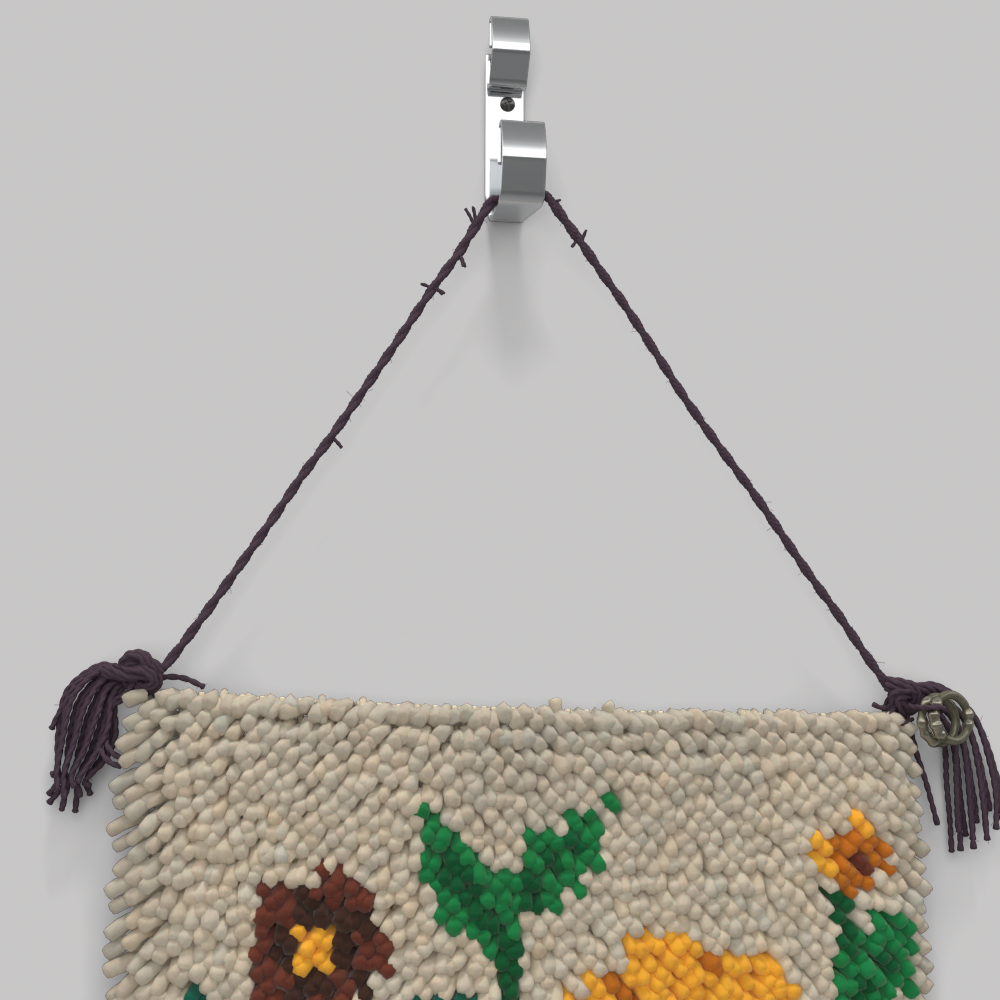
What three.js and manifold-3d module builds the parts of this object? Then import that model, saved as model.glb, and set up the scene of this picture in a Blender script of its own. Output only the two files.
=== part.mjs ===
// A latch hook wall hanging: a canvas covered in cut yarn tufts, hung by a twisted cord on a double hook.
// Millimetres. The wall is the plane y = 0 and everything stands in front of it, towards -Y. +Z is up.
// The origin is on the back of the hook's plate.
import * as THREE from "three";
import { mergeVertices } from "three/addons/utils/BufferGeometryUtils.js";
import Module from "manifold-3d";

const wasm = await Module();
wasm.setup();

const GAP = 0.3; // between pieces that touch
const lerp = THREE.MathUtils.lerp;

// Canvas: rug canvas of 3.3 meshes to the inch, forty meshes wide, its two hems folded to the back
const MESH = 7.65;
const CANVAS = {
  left: -141.5,
  right: -141.5 + 40 * MESH,
  height: 406,
  thickness: 1.2,
  hem: 26,
  layerGap: 0.5,
  columns: 16,
};

// How far the canvas's front stands off the wall, at its top edge and at its bottom edge
const STAND_OFF = { top: 9.5, bottom: 4.8 };

// The height of the top fold, which is higher at the left corner and sags between the two
const TOP_FOLD = [
  { x: CANVAS.left, z: -234.8 },
  { x: -102, z: -236.9 },
  { x: -43, z: -239.7 },
  { x: 37, z: -241.1 },
  { x: 121, z: -241.8 },
  { x: CANVAS.right, z: -240.6 },
];

// Pile: the mass of the tufts as a lumpy slab in front of the canvas, with tuft ends standing out at its rim
const PILE = {
  overLeft: 5, // past the canvas at the left
  overRight: 3,
  belowFold: 3.6, // the fold shows above the first row
  belowCanvas: 3,
  thickness: 13,
  rimThickness: 5,
  rimWidth: 11,
  cornerRadius: 13,
  lump: 1.5,
  columns: 23,
  rows: 31,
};
// The waves that make the pile's lumps: their lengths, and how far each is bent by the other
const LUMP_WAVES = { across: 4.1, down: 3.7, bendAcross: 1.9, bendDown: 1.7, bendLength: [11.9, 9.3] };
const TUFT = {
  length: 13,
  width: 5.2,
  depth: 4.2,
  widths: [0.9, 1, 0.3], // at its root, its middle and its tip
  spacing: 9.2,
  sink: 5,
  rootDepth: 3.6, // in front of the slab's back
  unevenness: 1.3,
};
// How the tuft ends lie at each rim: the shares of their length that run outwards and down
const TUFT_LIE = {
  left: { out: 0.66, down: 0.72, wag: 0.12, tilt: 0.6, turn: 5.1 },
  right: { out: 0.5, down: 0.72, wag: 0.12, tilt: 0.6, turn: 5.1 },
  bottom: { sway: 2.2, down: 0.98, wag: 0.1, tilt: 0.5, turn: 3.3 },
};
// Odd tuft ends that poke up over the fold
const STRAY_DEPTH = 2.4;
const STRAY_TUFTS = [
  { x: 18.9, rise: 4.2 },
  { x: 40.9, rise: 2.8 },
];

// Cord: two plies laid together, which give it two lobes
const CORD = { lobe: 2.0, waist: 1.2, lay: 23, stepsPerLay: 6, sides: 8 };
const CORD_ROUTE = [
  [-136.0, -11.7, -228.1],
  [-128.4, -11.9, -217.6],
  [-117.0, -12.2, -200.6],
  [-106.5, -12.5, -184.4],
  [-94.6, -12.8, -165.8],
  [-83.8, -13.1, -148.4],
  [-73.2, -13.4, -132.8],
  [-59.8, -13.8, -111.6],
  [-46.7, -14.2, -90.7],
  [-32.2, -14.6, -66.9],
  [-21.8, -15.0, -51.4],
  [-15.0, -15.2, -39.4],
  [-10.0, -15.4, -30.8],
  [-6.6, -15.6, -26.2],
  [0.5, -16.8, -26.2],
  [7.0, -18.6, -26.2],
  [12.4, -21.2, -24.7],
  [16.4, -21.0, -26.5],
  [21.6, -20.6, -33.5],
  [30.6, -19.4, -45.4],
  [39.2, -18.5, -57.6],
  [48.8, -18.0, -71.2],
  [62.2, -17.3, -91.8],
  [75.2, -16.5, -112.1],
  [90.4, -15.8, -133.4],
  [105.6, -15.0, -154.0],
  [125.4, -14.0, -183.1],
  [138.8, -13.3, -201.6],
  [149.8, -12.6, -217.7],
  [158.8, -12.2, -230.3],
];
// Short yarn ends left where the cord's yarns were joined: where each leaves the cord, and its tip
const YARN_ENDS = [
  { root: [-14.5, -15.6, -39.2], tip: [-18.5, -17.4, -32.6] },
  { root: [-14.0, -15.2, -38.2], tip: [-15.6, -17.2, -31.4] },
  { root: [-21.6, -15.2, -50.6], tip: [-19.4, -17.0, -56.8] },
  { root: [-32.6, -14.8, -67.4], tip: [-37.2, -15.6, -66.2] },
  { root: [-32.2, -14.8, -67.0], tip: [-28.2, -15.8, -69.4] },
  { root: [-73.2, -13.6, -132.8], tip: [-69.0, -14.4, -136.8] },
  { root: [30.4, -19.2, -45.2], tip: [32.4, -20.4, -40.6] },
  { root: [18.2, -20.8, -29.0], tip: [20.8, -22.2, -27.4] },
];
const YARN_END = { radius: 0.9, taper: 0.35, rise: 0.4, bendAt: 0.55, sides: 4, steps: 2 };

// Hook: a back plate whose lower end turns forward as the lower arm, and an upper arm welded to it
const STRAP = 1.6;
const PLATE = { top: 50, halfWidth: 8.6 };
const LOWER_ARM = {
  bottom: -30.6,
  backRadius: 3.2,
  frontRadius: 4.2,
  taperZ: -18,
  bottomHalfWidth: 6.9,
  halfWidth: 9.5,
  flareDepth: 22.7,
  legDepth: 25.5,
  ridgeDepth: 26,
  ridgeZ: -8,
  tipDepth: 22.8,
  tipZ: 6.2,
  curl: 2.1,
  tongueZ: -11,
  lean: 0.168, // the arm bears off to the right by this share of its depth
  rise: 0.03, // and off the plate by this share of its height above the bottom
};
const UPPER_ARM = {
  footTop: 46,
  bottom: 31.5,
  footDepth: STRAP + GAP + STRAP / 2,
  bendRadius: 2.4,
  halfWidth: 8.35,
  legDepth: 7.5,
  ridgeDepth: 13.2,
  ridgeZ: 49,
  tipDepth: 10.7,
  tipZ: 61.9,
  curl: 1.7,
  tongueZ: 50,
  lean: 0.105,
  rise: 0,
};
// An arm's face above its ridge starts near upright and leans back more towards its tip, in radians
const FACE_LEAN = { ridge: 0.1, tip: 0.3 };
const STRAP_STEPS = { lower: 88, upper: 56 };
const SCREW = { x: 1.4, z: 26, headRadius: 3.4, headHeight: 1.7, shankRadius: 1.7, offWall: 0.1, hole: 2.1 };
// The screw head's dome: shares of its radius and of its height
const SCREW_DOME = [
  [1, 0],
  [0.86, 0.6],
  [0.48, 0.94],
  [0, 1],
];

// Tassels: the cord's ends knotted through the canvas corners, their yarns left loose
const YARN = { radius: 1.1, taper: 0.25, sides: 4, steps: 8 };
const LOOP_YARN = { radius: 0.95, steps: 14 };
const KNOT_FACETS = { around: 10, down: 7 };
const LEFT_KNOT = [
  { at: [-139.6, -12.6, -231.6], size: [5.4, 4.2, 4.6] },
  { at: [-144.6, -12.4, -226.2], size: [4.7, 4.2, 5.4] },
  { at: [-146.4, -11.6, -233.2], size: [5.2, 4.4, 4.8] },
  { at: [-152.6, -11.4, -226.8], size: [6.0, 4.2, 4.4] },
  { at: [-152.6, -10.6, -232.8], size: [6.4, 4.6, 6.4] },
  { at: [-150.2, -11.4, -238.4], size: [4.6, 3.4, 2.6] },
];
const RIGHT_KNOT = [
  { at: [162.8, -12.4, -234.4], size: [6.4, 4.2, 5.4] },
  { at: [167.2, -12.2, -241.4], size: [3.6, 3.4, 4.2] },
  { at: [172.4, -10.6, -233.4], size: [7.0, 4.4, 5.2] },
];
// A tassel's yarns fan out between an outer and an inner guide, in layers one behind the other.
// ends lengthens each tip by so much, and drift moves it sideways.
const FAN = { rootSpread: 0.62, tip: 3, wave: 0.7 };
const LEFT_FAN = {
  yarns: 14,
  layers: [-4.6, -8.2, -11.8],
  outer: [[-153.0, -225.4], [-162.2, -224.9], [-172.4, -236.4], [-174.6, -253.4], [-174.8, -266.2]],
  inner: [[-150.6, -236.8], [-152.8, -243.4], [-152.8, -253.4], [-156.6, -262.6], [-163.0, -270.6]],
  ends: [2.0, -1.0, 4.5, 6.0, -2.0, 6.5, 8.2, 10.2, 1.0, 10.4, 4.0, -1.5, 2.9, -1.0],
  drift: [0.2, -1.8, 1.0, -5.5, 1.4, 0.6, -8.0, -2.7, 1.6, -0.8, 1.2, 0.4, 1.8, 2.0],
};
const RIGHT_FAN = {
  yarns: 13,
  layers: [-3.6, -6.6, -9.4],
  outer: [[171.0, -229.4], [184.0, -228.2], [198.4, -239.4], [206.0, -258.0], [208.8, -273.0]],
  inner: [[170.6, -237.4], [179.4, -241.8], [186.2, -252.8], [186.2, -269.6], [185.6, -284.6]],
  ends: [9.0, 5.0, 10.5, 2.5, 8.0, 12.0, 4.5, 10.0, 12.5, 7.0, 11.5, 3.0, 10.5],
  drift: [0.0, 0.6, -0.8, 0.4, -0.4, 0.8, 0.0, -0.6, 0.4, 0.8, -0.4, 0.2, 0.0],
};
// Yarns that leave a knot by themselves, each by the points of its route
const LEFT_LOOSE = [
  [[-137.5, -10.6, -231.4], [-132.6, -8.2, -230.6], [-126.8, -7.8, -231.4], [-120.2, -8.0, -234.4]],
  [[-153.4, -9.0, -228.0], [-166.0, -7.6, -232.8], [-173.6, -6.2, -242.8], [-177.4, -5.4, -251.0]],
  [[-156.8, -8.6, -254.0], [-154.6, -13.4, -258.6], [-151.2, -16.4, -261.6], [-147.4, -17.2, -262.6]],
];
const RIGHT_LOOSE = [
  [
    [167.0, -11.0, -242.6],
    [169.4, -8.6, -248.4],
    [172.6, -6.4, -259.0],
    [176.0, -5.8, -270.0],
    [179.8, -5.8, -286.8],
  ],
];
const CORNER_SIZE = 24; // how much of a canvas corner a knot is kept clear of
const RING_LOOP = [
  [164.6, -13.4, -238.4],
  [167.0, -20.4, -240.0],
  [169.6, -25.8, -240.6],
  [173.4, -27.9, -240.6],
  [176.9, -26.2, -241.0],
  [176.8, -21.0, -241.4],
  [173.8, -15.4, -239.6],
  [170.2, -11.8, -236.6],
];

// Rings: two plain brass rings that lie on the right tassel, held by a loop of its yarn
const RING = { radius: 9.4, wire: 1.5, segments: 24, sides: 8 };
const RING_FRONT = { at: [181.6, -22.0, -244.3], turn: 20.7 };
const RING_BACK = { at: [177.9, -17.8, -244.9], turn: 21.5 };

// Turns a geometry's faces outwards where the way it was bent left them facing in
function facingOut(geometry) {
  const at = geometry.attributes.position;
  const [a, b, c] = [new THREE.Vector3(), new THREE.Vector3(), new THREE.Vector3()];
  let volume = 0;
  for (let i = 0; i < at.count; i += 3) {
    a.fromBufferAttribute(at, i);
    b.fromBufferAttribute(at, i + 1);
    c.fromBufferAttribute(at, i + 2);
    volume += a.dot(b.cross(c));
  }
  if (volume > 0) return geometry;
  for (let i = 0; i < at.count; i += 3) {
    a.fromBufferAttribute(at, i + 1);
    b.fromBufferAttribute(at, i + 2);
    at.setXYZ(i + 1, b.x, b.y, b.z);
    at.setXYZ(i + 2, a.x, a.y, a.z);
  }
  return geometry;
}

// A straight bar of the given section, each point moved to place(across, through, share of its length)
function bent(section, steps, place) {
  const straight = { depth: 1, steps, bevelEnabled: false };
  const bar = new THREE.ExtrudeGeometry(new THREE.Shape(section), straight);
  const at = bar.attributes.position;
  for (let i = 0; i < at.count; i += 1) {
    const moved = place(at.getX(i), at.getY(i), at.getZ(i));
    at.setXYZ(i, moved.x, moved.y, moved.z);
  }
  return facingOut(bar);
}

function roundSection(sides, radiusAt = () => 1) {
  const points = [];
  for (let i = 0; i < sides; i += 1) {
    const angle = (2 * Math.PI * i) / sides;
    points.push(new THREE.Vector2(Math.cos(angle), Math.sin(angle)).multiplyScalar(radiusAt(angle)));
  }
  return points;
}

function smoothCurve(route) {
  const points = route.map((p) => new THREE.Vector3(...p));
  const curve = new THREE.CatmullRomCurve3(points, false, "centripetal");
  curve.arcLengthDivisions = 400;
  return curve;
}

// A yarn or cord along a smooth route; widthAt and turnAt scale and turn its section along the way
function strand(route, section, steps, widthAt, turnAt = () => 0) {
  const curve = smoothCurve(route);
  const frames = curve.computeFrenetFrames(steps, false);
  return bent(section, steps, (across, through, share) => {
    const step = Math.round(share * steps);
    const turn = turnAt(share);
    const width = widthAt(share);
    const u = width * (across * Math.cos(turn) - through * Math.sin(turn));
    const v = width * (across * Math.sin(turn) + through * Math.cos(turn));
    const middle = curve.getPointAt(share).addScaledVector(frames.normals[step], u);
    return middle.addScaledVector(frames.binormals[step], v);
  });
}

function solid(geometry) {
  const bare = geometry.clone();
  for (const name of Object.keys(bare.attributes)) {
    if (name !== "position") bare.deleteAttribute(name);
  }
  const merged = mergeVertices(bare, 1e-4);
  const mesh = new wasm.Mesh({
    numProp: 3,
    vertProperties: new Float32Array(merged.attributes.position.array),
    triVerts: new Uint32Array(merged.index.array),
  });
  return new wasm.Manifold(mesh);
}

function geometryOf(manifold) {
  const mesh = manifold.getMesh();
  const geometry = new THREE.BufferGeometry();
  geometry.setAttribute("position", new THREE.BufferAttribute(new Float32Array(mesh.vertProperties), 3));
  geometry.setIndex(new THREE.BufferAttribute(new Uint32Array(mesh.triVerts), 1));
  return geometry;
}

const joined = (geometries) => geometries.map(solid).reduce((whole, piece) => whole.add(piece));

// The top fold's height at x, from the table
function foldHeight(x) {
  const last = TOP_FOLD.length - 1;
  let i = 0;
  while (i < last - 1 && x > TOP_FOLD[i + 1].x) i += 1;
  const [a, b] = [TOP_FOLD[i], TOP_FOLD[i + 1]];
  const share = THREE.MathUtils.clamp((x - a.x) / (b.x - a.x), 0, 1);
  return lerp(a.z, b.z, share);
}

// The distance from the wall of the canvas's front, at a distance below its top fold
const canvasFront = (below) => lerp(STAND_OFF.top, STAND_OFF.bottom, below / CANVAS.height);

// The section of the canvas: its front layer, a fold at each end, and the two hems behind
function canvasSection() {
  const outer = CANVAS.thickness + CANVAS.layerGap / 2;
  const inner = CANVAS.layerGap / 2;
  const bottom = CANVAS.height - outer;
  const points = [];
  const arc = (below, radius, from, to, count) => {
    for (let i = 0; i <= count; i += 1) {
      const angle = lerp(from, to, i / count);
      points.push(new THREE.Vector2(radius * Math.cos(angle), below - radius * Math.sin(angle)));
    }
  };
  points.push(new THREE.Vector2(-outer, CANVAS.hem));
  arc(outer, outer, Math.PI, 0, 4);
  arc(bottom, outer, 0, -Math.PI, 4);
  points.push(new THREE.Vector2(-outer, CANVAS.height - CANVAS.hem));
  points.push(new THREE.Vector2(-inner, CANVAS.height - CANVAS.hem));
  arc(bottom, inner, -Math.PI, 0, 2);
  arc(outer, inner, 0, Math.PI, 2);
  points.push(new THREE.Vector2(-inner, CANVAS.hem));
  return points;
}

function canvasGeometry() {
  const foldRadius = CANVAS.thickness + CANVAS.layerGap / 2;
  return bent(canvasSection(), CANVAS.columns, (front, below, share) => {
    const x = lerp(CANVAS.left, CANVAS.right, share);
    return new THREE.Vector3(x, foldRadius - front - canvasFront(below), foldHeight(x) - below);
  });
}

// Low lumps that run over the pile in both directions, from -1 to 1
function lumps(x, below) {
  const { across, down, bendAcross, bendDown, bendLength } = LUMP_WAVES;
  const ridges = Math.sin(x / across + bendDown * Math.sin(below / bendLength[1]));
  const rows = Math.sin(below / down + bendAcross * Math.sin(x / bendLength[0]));
  return (ridges + rows) / 2;
}

const PILE_LEFT = CANVAS.left - PILE.overLeft;
const PILE_RIGHT = CANVAS.right + PILE.overRight;
const PILE_HEIGHT = CANVAS.height - PILE.belowFold + PILE.belowCanvas;

// A sheet of faces in (x, distance below the fold), moved to the lumpy front, and a flat back behind it
function pileSlab() {
  const width = PILE_RIGHT - PILE_LEFT;
  const [columns, rows] = [PILE.columns, PILE.rows];
  const points = [];
  const faces = [];
  const place = (i, j) => {
    let x = (width * i) / columns;
    let below = (PILE_HEIGHT * j) / rows;
    const side = Math.min(x, width - x);
    const end = Math.min(below, PILE_HEIGHT - below);
    const radius = PILE.cornerRadius;
    // the corners are drawn in to a round
    if (side < radius && end < radius) {
      const [du, dv] = [(radius - side) / radius, (radius - end) / radius];
      const most = Math.max(du, dv);
      const pull = most > 0 ? most / Math.hypot(du, dv) : 1;
      const [rounded, roundedEnd] = [radius * (1 - du * pull), radius * (1 - dv * pull)];
      x = x < width / 2 ? rounded : width - rounded;
      below = below < PILE_HEIGHT / 2 ? roundedEnd : PILE_HEIGHT - roundedEnd;
    }
    return { x: PILE_LEFT + x, below: below + PILE.belowFold, rim: Math.min(side, end) };
  };
  const push = (p, thickness) => {
    points.push(p.x, -(canvasFront(p.below) + GAP + thickness), foldHeight(p.x) - p.below);
    return points.length / 3 - 1;
  };
  const front = [];
  for (let j = 0; j <= rows; j += 1) {
    for (let i = 0; i <= columns; i += 1) {
      const p = place(i, j);
      const round = Math.sin((Math.PI / 2) * Math.min(1, p.rim / PILE.rimWidth));
      const body = lerp(PILE.rimThickness, PILE.thickness, round);
      front.push(push(p, body + PILE.lump * (round > 0 ? lumps(p.x, p.below) : 0)));
    }
  }
  const at = (i, j) => front[j * (columns + 1) + i];
  for (let j = 0; j < rows; j += 1) {
    for (let i = 0; i < columns; i += 1) {
      const [a, b, c, d] = [at(i, j), at(i + 1, j), at(i + 1, j + 1), at(i, j + 1)];
      faces.push(a, d, c, a, c, b);
    }
  }
  const rim = [];
  for (let i = 0; i < columns; i += 1) rim.push([i, 0]);
  for (let j = 0; j < rows; j += 1) rim.push([columns, j]);
  for (let i = columns; i > 0; i -= 1) rim.push([i, rows]);
  for (let j = rows; j > 0; j -= 1) rim.push([0, j]);
  const back = rim.map(([i, j]) => push(place(i, j), 0));
  const middle = push(place(columns / 2, rows / 2), 0);
  rim.forEach(([i, j], k) => {
    const next = (k + 1) % rim.length;
    const [a, b] = [at(i, j), at(...rim[next])];
    faces.push(a, b, back[next], a, back[next], back[k], back[k], back[next], middle);
  });
  const slab = new THREE.BufferGeometry();
  slab.setAttribute("position", new THREE.BufferAttribute(new Float32Array(points), 3));
  slab.setIndex(faces);
  return facingOut(slab.toNonIndexed());
}

// One tuft end: a tapering lock that starts inside the slab at root and points along reach
function tuftLock(root, reach) {
  const section = [new THREE.Vector2(-0.5, -0.35), new THREE.Vector2(0.5, -0.35), new THREE.Vector2(0, 0.6)];
  const along = new THREE.Vector3(...reach);
  const across = new THREE.Vector3().crossVectors(along, new THREE.Vector3(0, 1, 0)).normalize();
  const through = new THREE.Vector3().crossVectors(across, along).normalize();
  const steps = TUFT.widths.length - 1;
  return bent(section, steps, (u, v, share) => {
    const width = TUFT.widths[Math.round(share * steps)];
    return new THREE.Vector3(...root)
      .addScaledVector(along, share)
      .addScaledVector(across, u * TUFT.width * width)
      .addScaledVector(through, v * TUFT.depth * width);
  });
}

// Tuft ends along the two sides and the bottom, each turned a little its own way
function rimLocks() {
  const locks = [];
  const rootAt = (x, below, k) => {
    const depth = canvasFront(below) + GAP + TUFT.rootDepth + TUFT.unevenness * Math.sin(2.4 * k);
    return [x, -depth, foldHeight(x) - below];
  };
  const count = Math.floor((PILE_HEIGHT - 2 * PILE.cornerRadius) / TUFT.spacing);
  for (let k = 0; k <= count; k += 1) {
    const below = PILE.belowFold + PILE.cornerRadius + k * TUFT.spacing;
    for (const side of [-1, 1]) {
      const lie = side < 0 ? TUFT_LIE.left : TUFT_LIE.right;
      const wag = Math.sin(lie.turn * k);
      const edge = side < 0 ? PILE_LEFT : PILE_RIGHT;
      const out = side * TUFT.length * (lie.out + lie.wag * wag);
      const reach = [out, lie.tilt * wag, -TUFT.length * (lie.down - lie.wag * wag)];
      locks.push(tuftLock(rootAt(edge - side * (TUFT.sink - 1), below, k + side), reach));
    }
  }
  const lie = TUFT_LIE.bottom;
  const across = Math.floor((PILE_RIGHT - PILE_LEFT - 2 * TUFT.sink) / TUFT.spacing);
  for (let k = 0; k <= across; k += 1) {
    const x = PILE_LEFT + TUFT.sink + k * TUFT.spacing;
    const below = PILE.belowFold + PILE_HEIGHT - TUFT.sink - 2;
    const wag = Math.sin(lie.turn * k);
    const reach = [lie.sway * wag, lie.tilt * wag, -TUFT.length * (lie.down + lie.wag * wag)];
    locks.push(tuftLock(rootAt(x, below, k), reach));
  }
  for (const stray of STRAY_TUFTS) {
    const depth = canvasFront(0) + GAP + STRAY_DEPTH;
    const root = [stray.x, -depth, foldHeight(stray.x) - PILE.belowFold - TUFT.sink];
    locks.push(tuftLock(root, [0.8, 0, PILE.belowFold + TUFT.sink + stray.rise]));
  }
  return locks;
}

function cordGeometry() {
  const plies = (angle) => lerp(CORD.waist, CORD.lobe, (1 + Math.cos(2 * angle)) / 2);
  const section = roundSection(CORD.sides, plies);
  const turns = smoothCurve(CORD_ROUTE).getLength() / CORD.lay;
  const steps = Math.round(turns * CORD.stepsPerLay);
  const cord = strand(CORD_ROUTE, section, steps, () => 1, (share) => 2 * Math.PI * turns * share);
  const widthAt = (share) => YARN_END.radius * (1 - YARN_END.taper * share);
  const ends = YARN_ENDS.map(({ root, tip }) => {
    const middle = root.map((value, i) => lerp(value, tip[i], YARN_END.bendAt));
    middle[2] += YARN_END.rise;
    return strand([root, middle, tip], roundSection(YARN_END.sides), YARN_END.steps, widthAt);
  });
  return geometryOf(joined([cord, ...ends]));
}

// The end of both arms: the leg up to its ridge, the curved face above it, the curl and the turned-in tongue
function addTip(path, arm) {
  const { ridge, tip } = FACE_LEAN;
  const rise = arm.tipZ - arm.ridgeZ;
  const bendRise = (arm.ridgeDepth - arm.tipDepth - rise * Math.tan(tip)) / (Math.tan(ridge) - Math.tan(tip));
  const faceBend = [arm.ridgeDepth - bendRise * Math.tan(ridge), arm.ridgeZ + bendRise];
  const curl = { x: arm.tipDepth - arm.curl * Math.cos(tip), z: arm.tipZ - arm.curl * Math.sin(tip) };
  path.lineTo(arm.ridgeDepth, arm.ridgeZ);
  path.quadraticCurveTo(...faceBend, arm.tipDepth, arm.tipZ);
  path.absarc(curl.x, curl.z, arm.curl, tip, Math.PI, false);
  path.lineTo(curl.x - arm.curl, arm.tongueZ);
  return path;
}

// The middle of a strap, seen from its side: x is the distance from the wall and y is the height
function lowerArmPath() {
  const arm = LOWER_ARM;
  const half = STRAP / 2;
  const bend = arm.bottom + half;
  const path = new THREE.Path();
  path.moveTo(half, PLATE.top);
  path.lineTo(half, bend + arm.backRadius);
  path.absarc(half + arm.backRadius, bend + arm.backRadius, arm.backRadius, Math.PI, 1.5 * Math.PI, false);
  path.lineTo(arm.legDepth - arm.frontRadius, bend);
  const frontBend = [arm.legDepth - arm.frontRadius, bend + arm.frontRadius];
  path.absarc(...frontBend, arm.frontRadius, -Math.PI / 2, 0, false);
  return addTip(path, arm);
}

function upperArmPath() {
  const arm = UPPER_ARM;
  const bend = arm.bottom + STRAP / 2 + arm.bendRadius;
  const path = new THREE.Path();
  path.moveTo(arm.footDepth, arm.footTop);
  path.lineTo(arm.footDepth, bend);
  path.absarc(arm.footDepth + arm.bendRadius, bend, arm.bendRadius, Math.PI, 2 * Math.PI, false);
  return addTip(path, arm);
}

// How far a strap has borne off to the right at a point of its path
function bearing({ lean, rise, bottom }, middle) {
  const offPlate = THREE.MathUtils.smoothstep(middle.x, STRAP, 3 * STRAP);
  return lean * middle.x + rise * offPlate * (middle.y - bottom);
}

// A flat strap bent along a path, with its half width given by the point that the path has reached
function strapGeometry(path, steps, halfWidthAt, arm) {
  const section = [
    new THREE.Vector2(-1, -STRAP / 2),
    new THREE.Vector2(1, -STRAP / 2),
    new THREE.Vector2(1, STRAP / 2),
    new THREE.Vector2(-1, STRAP / 2),
  ];
  return bent(section, steps, (across, through, share) => {
    const middle = path.getPointAt(share);
    const along = path.getTangentAt(share);
    const depth = middle.x + through * along.y;
    const height = middle.y - through * along.x;
    return new THREE.Vector3(across * halfWidthAt(middle) + bearing(arm, middle), -depth, height);
  });
}

// The plate narrows to the bend, and the arm widens from there to its leg
function lowerArmHalfWidth(middle) {
  const arm = LOWER_ARM;
  if (middle.x < STRAP) {
    const share = THREE.MathUtils.smoothstep(-middle.y, -arm.taperZ, -arm.bottom);
    return lerp(PLATE.halfWidth, arm.bottomHalfWidth, share);
  }
  const flare = THREE.MathUtils.smoothstep(middle.x, STRAP, arm.flareDepth);
  return lerp(arm.bottomHalfWidth, arm.halfWidth, flare);
}

function upperArmGeometry() {
  return strapGeometry(upperArmPath(), STRAP_STEPS.upper, () => UPPER_ARM.halfWidth, UPPER_ARM);
}

function plateAndLowerArm() {
  const strap = strapGeometry(lowerArmPath(), STRAP_STEPS.lower, lowerArmHalfWidth, LOWER_ARM);
  const hole = new THREE.CylinderGeometry(SCREW.hole, SCREW.hole, 3 * STRAP, 16);
  hole.translate(SCREW.x, -STRAP / 2, SCREW.z);
  return geometryOf(solid(strap).subtract(solid(hole)));
}

// The screw that holds the plate, with its domed head in front; the lathe's axis becomes -Y
function screwGeometry() {
  const { headRadius, headHeight, shankRadius, offWall } = SCREW;
  const seat = STRAP + GAP;
  const profile = [
    new THREE.Vector2(0, offWall),
    new THREE.Vector2(shankRadius, offWall),
    new THREE.Vector2(shankRadius, seat),
    ...SCREW_DOME.map(([out, rise]) => new THREE.Vector2(headRadius * out, seat + headHeight * rise)),
  ];
  const screw = new THREE.LatheGeometry(profile, 16);
  screw.rotateX(Math.PI);
  screw.translate(SCREW.x, 0, SCREW.z);
  return screw;
}

function lobe({ at, size }) {
  const ball = new THREE.SphereGeometry(1, KNOT_FACETS.around, KNOT_FACETS.down);
  ball.scale(...size);
  ball.translate(...at);
  return ball;
}

const yarn = (route, radius = YARN.radius, steps = YARN.steps) =>
  strand(route, roundSection(YARN.sides), steps, (share) => radius * (1 - YARN.taper * share * share));

// The yarns of a tassel, spread between its two guides
function fan({ yarns, layers, outer, inner, ends, drift }) {
  const made = [];
  for (let k = 0; k < yarns; k += 1) {
    const share = k / (yarns - 1);
    const layer = layers[k % layers.length];
    const root = layers[1];
    const route = outer.map(([x, z], i) => {
      const along = i / (outer.length - 1);
      const spread = lerp(FAN.rootSpread, 1, Math.min(1, 2 * along));
      const wave = FAN.wave * Math.sin(2.1 * k + 1.9 * i) * along;
      const fanned = 0.5 + (share - 0.5) * spread;
      return [
        lerp(x, inner[i][0], fanned) + wave,
        lerp(root, layer, Math.min(1, 2 * along)),
        lerp(z, inner[i][1], fanned) + 0.4 * wave,
      ];
    });
    const tip = route[route.length - 1];
    route.push([tip[0] + drift[k], tip[1], tip[2] - ends[k] - FAN.tip]);
    made.push(yarn(route));
  }
  return made;
}

// What a knot leaves room for: the canvas corner that it is tied through
function canvasCorner(x) {
  const size = CORNER_SIZE;
  const block = new THREE.BoxGeometry(size, CANVAS.thickness * 2 + CANVAS.layerGap + 2 * GAP, size);
  const side = x < 0 ? 1 : -1;
  const middle = STAND_OFF.top - CANVAS.thickness - CANVAS.layerGap / 2;
  const top = Math.max(foldHeight(x), foldHeight(x + side * size)) + GAP;
  block.translate(x + side * (size / 2 - GAP), -middle, top - size / 2);
  return solid(block);
}

function leftTassel() {
  const pieces = [...LEFT_KNOT.map(lobe), ...fan(LEFT_FAN), ...LEFT_LOOSE.map((route) => yarn(route))];
  return geometryOf(joined(pieces).subtract(canvasCorner(CANVAS.left)));
}

function rightTassel() {
  const loose = RIGHT_LOOSE.map((route) => yarn(route));
  const loop = yarn(RING_LOOP, LOOP_YARN.radius, LOOP_YARN.steps);
  const pieces = [...RIGHT_KNOT.map(lobe), ...fan(RIGHT_FAN), ...loose, loop];
  return geometryOf(joined(pieces).subtract(canvasCorner(CANVAS.right)));
}

function finish(color, roughness, metalness) {
  return new THREE.MeshStandardMaterial({ color, roughness, metalness });
}

const MATERIALS = {
  plated: finish(0xc9cbce, 0.18, 1),
  steel: finish(0x8d8f92, 0.4, 1),
  canvas: finish(0xcfc3a6, 0.9, 0),
  pile: finish(0xd3c8ae, 1, 0),
  yarn: finish(0x42323e, 1, 0),
  brass: finish(0x7d6f4a, 0.42, 1),
};

const hanging = new THREE.Group();

function add(name, geometry, material) {
  const mesh = new THREE.Mesh(geometry, material);
  mesh.name = name;
  hanging.add(mesh);
  return mesh;
}

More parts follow.
